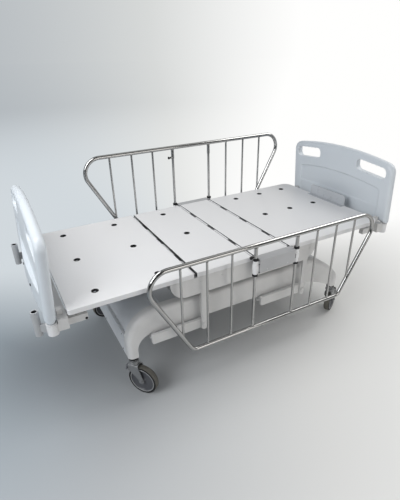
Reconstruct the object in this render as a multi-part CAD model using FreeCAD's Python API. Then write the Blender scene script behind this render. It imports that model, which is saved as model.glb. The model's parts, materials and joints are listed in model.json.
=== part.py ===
"""Pediatric hospital cot: hi-lo base on four casters, profiling deck, drop rails, lift-off boards.

Millimetres.  +X points to the head end, -Y to the near side, +Z up.  The X values below count
from the middle between the two boards; export() shifts them so that the origin lies on the floor
under the middle of the whole cot, which reaches further at the foot end.
"""
import FreeCAD
import Part
import math
import os

V = FreeCAD.Vector
SIDES = {"near": -1, "far": 1}
ENDS = {"foot": -1, "head": 1}

# ---- driving dimensions -------------------------------------------------------------------
MIDDLE_SHIFT = 14.0       # half of what the foot end reaches beyond the head end
DECK_TOP = 590.0          # deck surface above the floor, bed at its lowest
DECK_W = 800.0            # across the deck sections
FOOT_CLEAR, HEAD_CLEAR = 62.0, 82.0      # from the deck's ends to the post lines of the boards
LEG_L, THIGH_L, SEAT_L, BACK_L = 552.0, 309.0, 211.0, 648.0
SHEET_T = 2.0             # pressed deck sheet
HEM_H = 22.0              # folded edge of each deck section
SECTION_GAP = 16.0        # slot between two deck sections
HEAD_CORNER_R = 50.0      # free corners of the back section
FOOT_CORNER_R = 12.0      # free corners of the leg section
HOLE_R = 13.0             # ventilation and strap holes
HOLE_EDGE = 88.0          # from the outer hole rows to the deck's sides
LEG_HOLES = (130.0, 411.0)               # hole columns from the foot end of each section
THIGH_HOLES = (160.0,)
BACK_HOLES = (157.0, 342.0, 527.0)
RIB_Y, RIB_W = 200.0, 30.0        # stiffening channels under each section
KNUCKLE_R, HINGE_ROD_R = 6.5, 5.0
KNUCKLE_L = 70.0                  # length of one hinge knuckle
KNUCKLE_SHARES = (-0.3975, -0.1325, 0.1325, 0.3975)      # middles of the knuckle pairs, as shares of DECK_W
FIT = 0.05                # radial play of a running fit
PLAY = 0.5                # air between parts that pass each other
SEAT_AIR = 0.3            # air under a part that rests on another

BOARD_INSET = 7.0         # the boards stand this far inside the deck's sides
BOARD_T = 44.0
BOARD_LOW_Z, BOARD_CORNER_Z, BOARD_CROWN_Z = 545.0, 883.0, 922.0
BOARD_CORNER_R = 55.0
BOARD_WALL = 4.0          # wall around the hollow core
BOARD_LEAN = 4.0          # degrees, top of the board inwards
BOARD_EDGE_R = 20.0       # edges rounded almost to a half circle
RECESS_DEPTH = 8.0
SKIRT_TOP_Z = 636.0       # moulded skirt across the lower part of both faces
SKIRT_INNER, SKIRT_BULGE = 3.0, 20.0     # height over the recess, inner face and middle of outer face
RECESS_EDGE = 68.0        # from the recessed field to the board's sides
RECESS_SIDE_Z, RECESS_CROWN_Z, RECESS_CORNER_R = 738.0, 768.0, 20.0
SLOT_L, SLOT_EDGE = 204.0, 41.0          # hand slots and their distance from the board's sides
SLOT_H, SLOT_CORNER_R = 60.0, 24.0
SLOT_DRAFT = 9.0          # how much wider all round a slot is on the outer face
SLOT_TOP_Z = 880.0
POST_INSET, POST_R = 25.0, 16.0          # posts from the board's sides
POST_IN_BOARD = 20.0      # how far the posts run up into a board
POST_SOCKET_WALL = 5.5
POST_SOCKET_Z, POST_SOCKET_TOP_Z = 485.0, 540.0
POST_SOCKET_FLOOR = 5.0
RING_GROOVE, RING_GROOVE_DROP = 1.5, 6.0      # turned ring below the mouth of a post socket
SOCKET_LUG_W, SOCKET_LUG_Z = 28.0, 498.0      # block that carries a post socket and its pole socket
SOCKET_LUG_H = 34.0
POLE_OUT_X, POLE_IN_Y = 50.0, 30.0       # accessory pole sockets, from the foot end's post sockets
POLE_BORE_R, POLE_WALL, POLE_L, POLE_FLOOR = 10.5, 4.5, 110.0, 4.0
POLE_WEB_T = 14.0

FRAME_TUBE = 30.0         # square tube of the upper frame
TUBE_WALL = 2.5           # wall of the frame tubes, end beams and base cross tubes
FRAME_TOP_Z = 560.0
FRAME_TUBE_IN = 95.0      # middle of the long tubes, inside the deck's sides
CROSS_H = 20.0            # flat cross members
CROSS_END_IN, CROSS_LEG_IN = 30.0, 390.0      # cross members: from the deck's ends, under the leg section
CROSS_BEFORE_THIGH, CROSS_AFTER_THIGH = 151.0, 29.0      # and before and after the thigh hinge
CROSS_BEFORE_BACK, CROSS_AFTER_BACK = 114.0, (88.0, 338.0)    # and before and after the back hinge
END_BEAM_IN, END_BEAM_W, END_BEAM_H = 42.0, 40.0, 36.0   # end beams, inside the post lines
END_BEAM_TOP_Z = 550.0
END_BRACKET_L, END_BRACKET_H = 98.0, 16.0     # brackets under the long tubes
CORNER_ARM_IN, CORNER_ARM_L, CORNER_ARM_W = 28.0, 80.0, 26.0     # arms inside the posts
CORNER_ARM_Z, CORNER_ARM_H = 494.0, 31.0
CORNER_LUG_W, CORNER_LUG_H = 20.0, 28.0       # white stops beside the deck corners
SIDE_PLATE_IN, SIDE_PLATE_T = 8.0, 4.0   # boat-shaped side plates, inside the deck's sides
SIDE_PLATE_X0, SIDE_PLATE_X1 = -440.0, 388.0
SIDE_PLATE_LOW_Z, SIDE_PLATE_TOP_Z = 478.0, 565.0
SIDE_PLATE_END_R = 80.0
BUFFER_R = 12.0

LIFT_FOOT_X, LIFT_HEAD_X = -513.0, 90.0  # base pivots of the two pairs of lift arms
LIFT_ARM_L = 240.0
LIFT_PIVOT_Z = 296.0
ARM_H, ARM_T = 50.0, 14.0
HANGER_W, HANGER_T = 30.0, 9.0
ARM_AIR = 3.0             # from a hanger to its lift arm
HANGER_TOP_Z = 545.0
PIVOT_BOLT_R = 8.0
TORQUE_TUBE_R = 12.0
CRANK_R, CRANK_T, CRANK_PIN_R = 60.0, 6.0, 5.0
CRANK_REST = 60.0         # degrees from +X towards +Z, so its travel is even about upright
EYE_W, EYE_T = 26.0, 11.0

BASE_AIR, BASE_BEAM_W = 16.0, 50.0       # from a lift arm to a side beam, and the beam's width
BASE_TOP_Z, BASE_ARCH_Z, LEG_END_Z = 428.0, 311.0, 200.0
BASE_END_X = 645.0        # outer face of both ends
LEG_FOOT_W = 46.0         # thickness of a leg above its caster
BASE_EDGE_R = 24.0
BASE_WALL = 4.0           # wall of the hollow side beams, doubled at their rounded edges
SWEEP_INSET = 10.0        # extra wall of a side beam where the sweep meets the leg
FOOT_BEND_R = 150.0       # outer bend of the foot end
FOOT_ARCH_R = 72.0        # bend of the arch inside the foot leg
END_COVER_T = 5.0
BAND_T, BAND_TOP_Z = 6.0, 318.0          # flat band across the foot end, proud of the cover's bend
SWEEP_END_H, SWEEP_L = 45.0, 265.0       # long sweep down to the head legs
SWEEP_POINTS = ((22.0, 95.0), (85.0, 155.0), (165.0, 203.0))     # in from the end, up from the leg's foot
UNDER_L = 345.0           # underside of the sweep
UNDER_POINTS = ((250.0, 12.0), (125.0, 60.0))    # in from the end, down from the arch's top
BASE_CROSS_X = (-330.0, -170.0, 240.0)
BASE_CROSS = 30.0
STEM_R, STEM_L = 8.0, 38.0

CASTER_IN_X, CASTER_IN_Y = 26.0, 24.0    # caster stems, inside the base's ends and outer faces
WHEEL_R, WHEEL_W = 75.0, 32.0
TREAD_T = 11.0
TRAIL = 44.0
CASTER_HEADING = {"near_foot": -53.0, "near_head": 28.0, "far_foot": 10.0, "far_head": 12.0}
BRAKED = ("near_foot", "far_head")
FORK_T, FORK_AIR = 4.0, 2.0
FORK_TOP_Z = 178.0
CAP_R, CAP_H = 25.0, 14.0
COLLAR_R, RING_R, RING_H = 15.0, 22.0, 10.0
AXLE_R = 5.0

RAIL_X = 102.0            # middle of both side rails
RAIL_OUT = 32.0           # middle of the rails, outside the deck's sides
RAIL_TUBE_R = 11.0
RAIL_TUBE_WALL = 2.0
RAIL_LOW_Z, RAIL_TOP_Z = 203.0, 664.0    # tube centres with the rail down
RAIL_LOW_HALF, RAIL_TOP_HALF = 461.0, 710.0   # half lengths where the straight runs would cross
RAIL_TOP_BEND, RAIL_LOW_BEND = 86.0, 40.0
RAIL_LIFT = 282.0
RAIL_UP = {"near": 0.0, "far": 1.0}      # share of the lift each rail stands at
BAR_R, BAR_PITCH, BARS_EACH_SIDE = 5.5, 128.6, 3
GUIDE_X, GUIDE_R, GUIDE_COLLAR_R = 122.8, 7.0, 9.0
GROOVE_Z, GROOVE_H, GROOVE_DEPTH = (46.0, 62.0), 6.0, 1.2   # lock grooves above the bottom tube
SLEEVE_R, SLEEVE_Z0, SLEEVE_Z1 = 12.0, 516.0, 587.0
SLEEVE_BAND_R, SLEEVE_BAND_H = 14.5, 24.0
SLEEVE_WEB_T = 16.0
BUSH_R, BUSH_H = 13.5, 11.0
SIDE_BOX_OUT, SIDE_BOX_W, SIDE_BOX_Z0 = 2.0, 44.0, 517.0
SIDE_BOX_HALF = 106.0
SIDE_BOX_WALL = 5.0
LATCH_TRAVEL = 8.0
LATCH_BOSS_R, LATCH_BOSS_L = 6.8, 14.0
LATCH_PIN_R, LATCH_KNOB_R, LATCH_KNOB_L = 4.0, 8.0, 7.0
STOP_HALF_W, STOP_H, STOP_T, STOP_CORNER_R = 145.0, 63.0, 4.0, 18.0
STOP_SETBACK, STOP_FOOT_L = 8.0, 26.0

BACK_LEVER_R, BACK_LEVER_REST = 70.0, 235.0   # lever arm and its rest angle from +X
BACK_SWING = 70.0         # degrees that the back section rises
LIFT_SWING = 60.0         # degrees that the lift arms rise
SLOT_PLAY = 1.5           # play of a pin across its slotted eye
EYE_WALL = 7.0            # metal above and below the slot of an eye
BACK_BODY_R, BACK_ROD_R = 18.0, 8.0
BACK_BODY_TO_THIGH, BACK_BODY_TO_BACK = 211.0, 102.0     # from the body's ends to the hinges
LIFT_BODY_R, LIFT_BODY_X0, LIFT_BODY_X1, LIFT_ROD_R = 20.0, -100.0, -420.0, 9.0
ROD_HIDDEN = 230.0        # length of an actuator's rod inside its body at rest
MOTOR_START, MOTOR_L, MOTOR_DROP = 30.0, 70.0, 34.0
SADDLE_L, SADDLE_W = 24.0, 28.0
SADDLE_AIR = 4.0          # from the lift actuator's body to the tubes above it
PEDAL_X, PEDAL_Z = -12.0, 147.0          # pivot of a brake pedal, from the caster's stem
PEDAL_PIN_R, PEDAL_BARREL_R, PEDAL_W = 4.0, 6.5, 28.0
PEDAL_PROFILE = ((-2, 6), (-16, 6), (-26, -4), (-33, -30), (-30, -36), (-26, -33), (-20, -9), (-12, -4),
                 (-2, -5))

# ---- sizes that follow --------------------------------------------------------------------
BOARD_X = (LEG_L + THIGH_L + SEAT_L + BACK_L + FOOT_CLEAR + HEAD_CLEAR) / 2
DECK_FOOT_X = FOOT_CLEAR - BOARD_X
KNEE_X = DECK_FOOT_X + LEG_L
THIGH_X = KNEE_X + THIGH_L
BACK_X = THIGH_X + SEAT_L
DECK_HEAD_X = BACK_X + BACK_L
HEM_Z = DECK_TOP - HEM_H
HOLE_ROW_Y = DECK_W / 2 - HOLE_EDGE
LEG_HOLE_X = [DECK_FOOT_X + x for x in LEG_HOLES]
THIGH_HOLE_X = [KNEE_X + x for x in THIGH_HOLES]
BACK_HOLE_X = [BACK_X + x for x in BACK_HOLES]
KNUCKLE_Y = [share * DECK_W for share in KNUCKLE_SHARES]
BOARD_W = DECK_W - 2 * BOARD_INSET
RECESS_W = BOARD_W - 2 * RECESS_EDGE
SLOT_OUT_Y = BOARD_W / 2 - SLOT_EDGE
SLOT_IN_Y = SLOT_OUT_Y - SLOT_L
POST_Y = BOARD_W / 2 - POST_INSET
POLE_X, POLE_Y = BOARD_X + POLE_OUT_X, POST_Y - POLE_IN_Y
END_BEAM_X = BOARD_X - END_BEAM_IN
CORNER_ARM_Y = POST_Y - CORNER_ARM_IN
FRAME_TUBE_Y = DECK_W / 2 - FRAME_TUBE_IN
CROSS_X = (DECK_FOOT_X + CROSS_END_IN, DECK_FOOT_X + CROSS_LEG_IN, THIGH_X - CROSS_BEFORE_THIGH,
           THIGH_X + CROSS_AFTER_THIGH, BACK_X - CROSS_BEFORE_BACK, BACK_X + CROSS_AFTER_BACK[0],
           BACK_X + CROSS_AFTER_BACK[1], DECK_HEAD_X - CROSS_END_IN)
BACK_BODY_X0, BACK_BODY_X1 = THIGH_X - BACK_BODY_TO_THIGH, BACK_X - BACK_BODY_TO_BACK
SIDE_PLATE_Y = DECK_W / 2 - SIDE_PLATE_IN
ARM_Y = SIDE_PLATE_Y - HANGER_T - ARM_AIR - ARM_T        # inner face of a lift arm
BASE_Y = ARM_Y - BASE_AIR                # outer face of the side beams
CASTER_X, CASTER_Y = BASE_END_X - CASTER_IN_X, BASE_Y - CASTER_IN_Y
RAIL_Y = DECK_W / 2 + RAIL_OUT
SIDE_BOX_Y0 = DECK_W / 2 + SIDE_BOX_OUT
SIDE_BOX_Y1 = SIDE_BOX_Y0 + SIDE_BOX_W
TOP_HINGE_Z = DECK_TOP - KNUCKLE_R - 0.5      # hinges that fold the deck upwards
LOW_HINGE_Z = HEM_Z + KNUCKLE_R + 0.5         # the knee, which folds the deck downwards
POST_SOCKET_R = POST_R + PLAY + POST_SOCKET_WALL
POLE_R = POLE_BORE_R + POLE_WALL
FORK_GAP = WHEEL_W / 2 + FORK_AIR
SLEEVE_BORE_R = GUIDE_R + PLAY
FRAME_LOW_Z = FRAME_TOP_Z - FRAME_TUBE
BACK_SAG = BACK_LEVER_R * (1 - math.cos(math.radians(BACK_SWING / 2)))
CRANK_SAG = CRANK_R * (1 - math.cos(math.radians(LIFT_SWING / 2)))
BACK_ACTUATOR_Z = TOP_HINGE_Z - BACK_LEVER_R + BACK_SAG / 2
LIFT_ACTUATOR_Z = LIFT_PIVOT_Z + CRANK_R - CRANK_SAG / 2
EYE_REACH = EYE_T / 2 + SLOT_PLAY + CRANK_T
GUIDE_COLLAR_Z = SLEEVE_Z1 + BUSH_H + SEAT_AIR
LATCH_Z = GUIDE_COLLAR_Z + LATCH_BOSS_R


# ---- helpers ------------------------------------------------------------------------------
def box(x0, x1, y0, y1, z0, z1):
    """Box between two corners given in any order."""
    lo = V(min(x0, x1), min(y0, y1), min(z0, z1))
    return Part.makeBox(abs(x1 - x0), abs(y1 - y0), abs(z1 - z0), lo)


def rod(r, start, end):
    """Round bar between two points."""
    a, b = V(*start), V(*end)
    return Part.makeCylinder(r, a.distanceToPoint(b), a, b - a)


def pipe(r_out, r_in, start, end):
    """Round tube between two points."""
    return rod(r_out, start, end).cut(rod(r_in, start, end))


def fuse(first, *others):
    """One solid from parts that meet."""
    return first.multiFuse(list(others)).removeSplitter()


def prism_y(edges, y0, y1):
    """Extrude a closed outline in the XZ plane between two Y values."""
    face = Part.Face(Part.Wire(edges))
    face.translate(V(0, min(y0, y1), 0))
    return face.extrude(V(0, abs(y1 - y0), 0))


def polygon_y(points, y0, y1):
    """Extrude an XZ polygon between two Y values."""
    corners = [V(x, 0, z) for x, z in points]
    return prism_y(Part.makePolygon(corners + corners[:1]).Edges, y0, y1)


def round_edges(shape, radius, wanted):
    """Fillet the edges that the test picks."""
    edges = [e for e in shape.Edges if wanted(e)]
    return shape.makeFillet(radius, edges) if edges else shape


def is_vertical(edge):
    """True for a straight edge along Z."""
    a, b = edge.Vertexes[0].Point, edge.Vertexes[-1].Point
    return edge.Curve.TypeId == "Part::GeomLine" and abs(a.x - b.x) + abs(a.y - b.y) < 1e-6


def at_level(edge, axis, value):
    """True for an edge that lies in the plane axis = value."""
    box_ = edge.BoundBox
    low, high = getattr(box_, axis + "Min"), getattr(box_, axis + "Max")
    return abs(low - value) < 1e-3 and abs(high - value) < 1e-3


def export(node, *solids):
    """Write one node; several solids stay apart in one file."""
    placed_solids = [solid.translated(V(MIDDLE_SHIFT, 0, 0)) for solid in solids]
    shape = placed_solids[0] if len(solids) == 1 else Part.makeCompound(placed_solids)
    shape.exportStep("parts/" + node + ".step")


# ---- deck sections ------------------------------------------------------------------------
def deck_tray(x0, x1, free_end=None, corner_r=0.0):
    """Pressed sheet with folded hems, ribs underneath and rounded free corners."""
    half = DECK_W / 2
    tray = box(x0, x1, -half, half, HEM_Z, DECK_TOP)
    if free_end is not None:
        tray = round_edges(tray, corner_r, lambda e: is_vertical(e) and at_level(e, "X", free_end))
    tray = round_edges(tray, 2.0, lambda e: at_level(e, "Z", DECK_TOP))
    hollow = box(x0 + SHEET_T, x1 - SHEET_T, -half + SHEET_T, half - SHEET_T, HEM_Z, DECK_TOP - SHEET_T)
    if free_end is not None:
        inner_end = free_end - SHEET_T * (1 if free_end > x0 else -1)
        hollow = round_edges(hollow, corner_r - SHEET_T,
                             lambda e: is_vertical(e) and at_level(e, "X", inner_end))
    tray = tray.cut(hollow)
    ribs = []
    for y in (-RIB_Y, RIB_Y):
        rib = box(x0 + SHEET_T, x1 - SHEET_T, y - RIB_W / 2, y + RIB_W / 2, HEM_Z, DECK_TOP - SHEET_T)
        ribs.append(rib.cut(box(x0 + 2 * SHEET_T, x1 - 2 * SHEET_T, y - RIB_W / 2 + SHEET_T,
                                y + RIB_W / 2 - SHEET_T, HEM_Z + SHEET_T, DECK_TOP - SHEET_T)))
    return fuse(tray, *ribs)


def holes(columns):
    """Middles of the holes, three across for each column."""
    return [(x, y) for x in columns for y in (-HOLE_ROW_Y, 0.0, HOLE_ROW_Y)]


def with_holes(tray, columns):
    """Cut the three rows of holes."""
    drills = [rod(HOLE_R, (x, y, HEM_Z), (x, y, DECK_TOP + 1)) for x, y in holes(columns)]
    return tray.cut(Part.makeCompound(drills))


def grommets(columns):
    """Rubber rings that line the holes."""
    rings = []
    for x, y in holes(columns):
        flange = rod(HOLE_R + 2.5, (x, y, DECK_TOP), (x, y, DECK_TOP + 1.2))
        neck = rod(HOLE_R - FIT, (x, y, DECK_TOP - SHEET_T - 5), (x, y, DECK_TOP))
        bore = rod(HOLE_R - 3.5, (x, y, HEM_Z), (x, y, DECK_TOP + 2))
        rings.append(fuse(flange, neck).cut(bore))
    return rings


def knuckles(hinge_x, hinge_z, own_side, shift):
    """Half of the knuckles of a hinge, with the leaves that join them to one section."""
    reach = own_side * (SECTION_GAP / 2 + SHEET_T)
    parts = []
    for y in KNUCKLE_Y:
        y0, y1 = y + shift - KNUCKLE_L / 2 + PLAY, y + shift + KNUCKLE_L / 2 - PLAY
        barrel = rod(KNUCKLE_R, (hinge_x, y0, hinge_z), (hinge_x, y1, hinge_z))
        leaf = box(hinge_x, hinge_x + reach, y0, y1, hinge_z - 3, hinge_z + 3)
        bore = rod(HINGE_ROD_R + FIT, (hinge_x, y0, hinge_z), (hinge_x, y1, hinge_z))
        parts.append(fuse(barrel, leaf).cut(bore))
    return parts


def hinge_rod(hinge_x, hinge_z):
    """Full-width hinge rod with a small head on each end."""
    half = KNUCKLE_Y[-1] + KNUCKLE_L
    bar = rod(HINGE_ROD_R, (hinge_x, -half - 4, hinge_z), (hinge_x, half + 4, hinge_z))
    heads = [rod(KNUCKLE_R - 0.3, (hinge_x, s * (half + 1), hinge_z), (hinge_x, s * (half + 4), hinge_z))
             for s in (-1, 1)]
    return fuse(bar, *heads)


def section(x0, x1, columns, hinges, free_end=None, corner_r=0.0):
    """One deck section with its share of the hinge knuckles."""
    tray = with_holes(deck_tray(x0, x1, free_end, corner_r), columns)
    barrels = [b for hinge in hinges for b in knuckles(*hinge)]
    return fuse(tray, *barrels) if barrels else tray


def back_lever(panel):
    """Two lever plates and the cross pin under the back section."""
    a = math.radians(BACK_LEVER_REST)
    px, pz = BACK_X + BACK_LEVER_R * math.cos(a), TOP_HINGE_Z + BACK_LEVER_R * math.sin(a)
    parts = []
    for s in (-1, 1):
        y0, y1 = s * (EYE_T / 2 + SLOT_PLAY), s * EYE_REACH
        plate = polygon_y([(px - 9, pz - 3), (px + 2, pz - 10), (BACK_X + 42, HEM_Z),
                           (BACK_X + 42, DECK_TOP - SHEET_T), (BACK_X + 12, DECK_TOP - SHEET_T),
                           (BACK_X + 12, HEM_Z), (BACK_X + 2, HEM_Z - 8), (px - 6, pz + 8)], y0, y1)
        parts.append(plate)
    parts.append(rod(CRANK_PIN_R, (px, -EYE_REACH, pz), (px, EYE_REACH, pz)))
    return fuse(panel, *parts)


def make_deck():
    """Four sections, their hinges, grommets and the mattress stop."""
    g = SECTION_GAP / 2
    k = KNUCKLE_L / 2
    knee, thigh, back = (KNEE_X, LOW_HINGE_Z), (THIGH_X, TOP_HINGE_Z), (BACK_X, TOP_HINGE_Z)
    leg_panel = section(DECK_FOOT_X, KNEE_X - g, LEG_HOLE_X, [knee + (-1, -k)], DECK_FOOT_X, FOOT_CORNER_R)
    thigh_panel = section(KNEE_X + g, THIGH_X - g, THIGH_HOLE_X, [knee + (1, k), thigh + (-1, -k)])
    seat_panel = section(THIGH_X + g, BACK_X - g, (), [thigh + (1, k), back + (-1, -k)])
    feet = [box(THIGH_X + g + SHEET_T, BACK_X - g - SHEET_T, s * RIB_Y - RIB_W / 2, s * RIB_Y + RIB_W / 2,
                FRAME_TOP_Z, HEM_Z) for s in (-1, 1)]
    back_panel = section(BACK_X + g, DECK_HEAD_X, BACK_HOLE_X, [back + (1, k)], DECK_HEAD_X, HEAD_CORNER_R)
    export("leg_section_panel", leg_panel)
    export("thigh_section_panel", thigh_panel)
    export("seat_section_panel", fuse(seat_panel, *feet))
    export("back_section_panel", back_lever(back_panel))
    export("leg_section_grommets", *grommets(LEG_HOLE_X))
    export("thigh_section_grommets", *grommets(THIGH_HOLE_X))
    export("back_section_grommets", *grommets(BACK_HOLE_X))
    export("knee_hinge_rod", hinge_rod(*knee))
    export("thigh_hinge_rod", hinge_rod(*thigh))
    export("back_hinge_rod", hinge_rod(*back))
    export("mattress_stop", mattress_stop())


def mattress_stop():
    """Bent plate that keeps the mattress off the head board."""
    x = DECK_HEAD_X - STOP_SETBACK
    top = DECK_TOP + STOP_H
    plate = box(x, x + STOP_T, -STOP_HALF_W, STOP_HALF_W, DECK_TOP, top)
    plate = round_edges(plate, STOP_CORNER_R, lambda e: e.BoundBox.XLength > 1 and e.BoundBox.ZMin > top - 1)
    foot = box(x - STOP_FOOT_L, x, -STOP_HALF_W, STOP_HALF_W, DECK_TOP, DECK_TOP + 2)
    return fuse(plate, foot)


# ---- boards -------------------------------------------------------------------------------
def crowned_face(width, low_z, corner_z, crown_z, corner_r):
    """YZ face with a gently arched top and rounded upper corners."""
    h = width / 2
    arc = Part.Arc(V(0, -h, corner_z), V(0, 0, crown_z), V(0, h, corner_z)).toShape()
    lines = [Part.makeLine(V(0, h, corner_z), V(0, h, low_z)), Part.makeLine(V(0, h, low_z), V(0, -h, low_z)),
             Part.makeLine(V(0, -h, low_z), V(0, -h, corner_z))]
    face = Part.Face(Part.Wire([arc] + lines))
    block = face.extrude(V(1, 0, 0))
    block = round_edges(block, corner_r, lambda e: e.BoundBox.XLength > 0.5 and e.BoundBox.ZMin > low_z + 1)
    return [f for f in block.Faces if at_level(f, "X", 0)][0]


def slot_wire(side, x, grow):
    """Outline of a hand slot that follows the crown, grown all round."""
    slope = (BOARD_CROWN_Z - BOARD_CORNER_Z) / (BOARD_W / 2)
    inner, outer = SLOT_IN_Y - grow, SLOT_OUT_Y + grow
    drop = slope * (outer - inner)
    top, low = SLOT_TOP_Z + grow, SLOT_TOP_Z - SLOT_H - grow
    corners = [V(x, side * inner, top), V(x, side * outer, top - drop),
               V(x, side * outer, low - drop), V(x, side * inner, low)]
    block = Part.Face(Part.makePolygon(corners + corners[:1])).extrude(V(1, 0, 0))
    block = round_edges(block, SLOT_CORNER_R + grow / 2, lambda e: e.BoundBox.XLength > 0.5)
    return [f for f in block.Faces if at_level(f, "X", x)][0].OuterWire


def hand_slot(end, side):
    """Through slot for one hand, drawn wider towards the outer face."""
    half = BOARD_T / 2 + 1
    inner, outer = slot_wire(side, -end * half, 0.0), slot_wire(side, end * half, SLOT_DRAFT)
    return Part.makeLoft([inner, outer], True)


def skirt(face, rise_ends, rise_middle):
    """Raised lower field on one face, bowed outwards in plan, with a rounded upper edge."""
    w = RECESS_W / 2 - 0.5
    floor = face * (BOARD_T / 2 - RECESS_DEPTH)
    ends, middle = floor + face * rise_ends, floor + face * (rise_middle + 0.01)
    back = floor - face * 2
    low, top = BOARD_LOW_Z, SKIRT_TOP_Z
    bow = Part.Arc(V(ends, -w, low), V(middle, 0, low), V(ends, w, low)).toShape()
    sides = [Part.makeLine(V(ends, w, low), V(back, w, low)), Part.makeLine(V(back, w, low), V(back, -w, low)),
             Part.makeLine(V(back, -w, low), V(ends, -w, low))]
    block = Part.Face(Part.Wire([bow] + sides)).extrude(V(0, 0, top - low))
    return round_edges(block, SKIRT_INNER - 0.5,
                       lambda e: at_level(e, "Z", top) and e.BoundBox.YLength > w
                       and abs(e.BoundBox.Center.x - back) > 1)


def board(end):
    """Moulded board, leaning inwards, with two hand slots and a recessed field on both faces."""
    s = ENDS[end]
    half = BOARD_T / 2
    face = crowned_face(BOARD_W, BOARD_LOW_Z, BOARD_CORNER_Z, BOARD_CROWN_Z, BOARD_CORNER_R)
    face.translate(V(-half, 0, 0))
    body = face.extrude(V(BOARD_T, 0, 0))
    rim = [e for e in body.Edges if at_level(e, "X", -half) or at_level(e, "X", half)]
    body = body.makeFillet(BOARD_EDGE_R, rim)
    field = crowned_face(RECESS_W, BOARD_LOW_Z - 1, RECESS_SIDE_Z, RECESS_CROWN_Z, RECESS_CORNER_R)
    for sign in (-1, 1):
        pocket = field.copy()
        pocket.translate(V(sign * (half - RECESS_DEPTH), 0, 0))
        body = body.cut(pocket.extrude(V(sign * 2 * RECESS_DEPTH, 0, 0)))
    for side in (-1, 1):
        body = body.cut(hand_slot(s, side))
    core, w = half - RECESS_DEPTH - BOARD_WALL, RECESS_W / 2 - BOARD_WALL
    body = body.cut(box(-core, core, -w, w, BOARD_LOW_Z + BOARD_WALL, RECESS_SIDE_Z - BOARD_WALL))
    body = fuse(body, skirt(-s, SKIRT_INNER, SKIRT_INNER), skirt(s, SKIRT_INNER, SKIRT_BULGE))
    body.rotate(V(0, 0, DECK_TOP), V(0, 1, 0), -s * BOARD_LEAN)
    body.translate(V(s * BOARD_X, 0, 0))
    return body


def board_posts(end, panel):
    """Steel posts that stand in the frame's sockets and hold the board."""
    x = ENDS[end] * BOARD_X
    low = POST_SOCKET_Z + POST_SOCKET_FLOOR + SEAT_AIR
    top = BOARD_LOW_Z + POST_IN_BOARD
    posts = [rod(POST_R, (x, s * POST_Y, low), (x, s * POST_Y, top)).cut(panel) for s in (-1, 1)]
    return [max(post.Solids, key=lambda piece: piece.Volume) for post in posts]


def make_boards():
    """Head board and foot board with their posts."""
    for end in ENDS:
        panel = board(end)
        export(end + "_board", panel)
        export(end + "_board_posts", *board_posts(end, panel))


# ---- upper frame --------------------------------------------------------------------------
def end_beam(end):
    """Cross beam with the post sockets, corner arms and the brackets under the long tubes."""
    s = ENDS[end]
    inner, outer = s * (END_BEAM_X - END_BEAM_W / 2), s * (END_BEAM_X + END_BEAM_W / 2)
    half = POST_Y + SOCKET_LUG_W / 2
    low = END_BEAM_TOP_Z - END_BEAM_H
    parts = []
    bores = []
    for side in (-1, 1):
        x, y = s * BOARD_X, side * POST_Y
        parts.append(box(inner, x, y - SOCKET_LUG_W / 2, y + SOCKET_LUG_W / 2,
                         SOCKET_LUG_Z, SOCKET_LUG_Z + SOCKET_LUG_H))
        bores.append(rod(POST_SOCKET_R, (x, y, POST_SOCKET_Z), (x, y, END_BEAM_TOP_Z)))
        y = side * CORNER_ARM_Y
        parts.append(box(outer, inner - s * CORNER_ARM_L, y - CORNER_ARM_W / 2, y + CORNER_ARM_W / 2,
                         CORNER_ARM_Z, CORNER_ARM_Z + CORNER_ARM_H))
        lug = [v - s * 5 for v in (outer, outer - s * CORNER_LUG_W)]
        parts.append(box(lug[0], lug[1], y - CORNER_LUG_W / 2, y + CORNER_LUG_W / 2, low,
                         END_BEAM_TOP_Z + CORNER_LUG_H))
        y = side * FRAME_TUBE_Y
        parts.append(box(outer, outer - s * END_BRACKET_L, y - FRAME_TUBE / 2, y + FRAME_TUBE / 2,
                         FRAME_LOW_Z - END_BRACKET_H, FRAME_LOW_Z))
    beam = box(inner, outer, -half, half, low, END_BEAM_TOP_Z)
    t, bay = TUBE_WALL, FRAME_TUBE_Y - FRAME_TUBE
    hollow = box(inner + s * t, outer - s * t, -bay, bay, low + t, END_BEAM_TOP_Z - t)
    return fuse(beam, *parts).cut(Part.makeCompound(bores + [hollow]))


def post_socket(end, side):
    """Closed-bottom tube that receives a board post, with a turned ring at its mouth."""
    x, y = ENDS[end] * BOARD_X, side * POST_Y
    tube = rod(POST_SOCKET_R, (x, y, POST_SOCKET_Z), (x, y, POST_SOCKET_TOP_Z))
    tube = round_edges(tube, 4.0, lambda e: at_level(e, "Z", POST_SOCKET_Z))
    ring_z = POST_SOCKET_TOP_Z - RING_GROOVE_DROP
    groove = pipe(POST_SOCKET_R + 1, POST_SOCKET_R - RING_GROOVE, (x, y, ring_z), (x, y, ring_z + RING_GROOVE))
    bore = rod(POST_R + PLAY, (x, y, POST_SOCKET_Z + POST_SOCKET_FLOOR), (x, y, POST_SOCKET_TOP_Z + 1))
    return tube.cut(groove).cut(bore)


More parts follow.
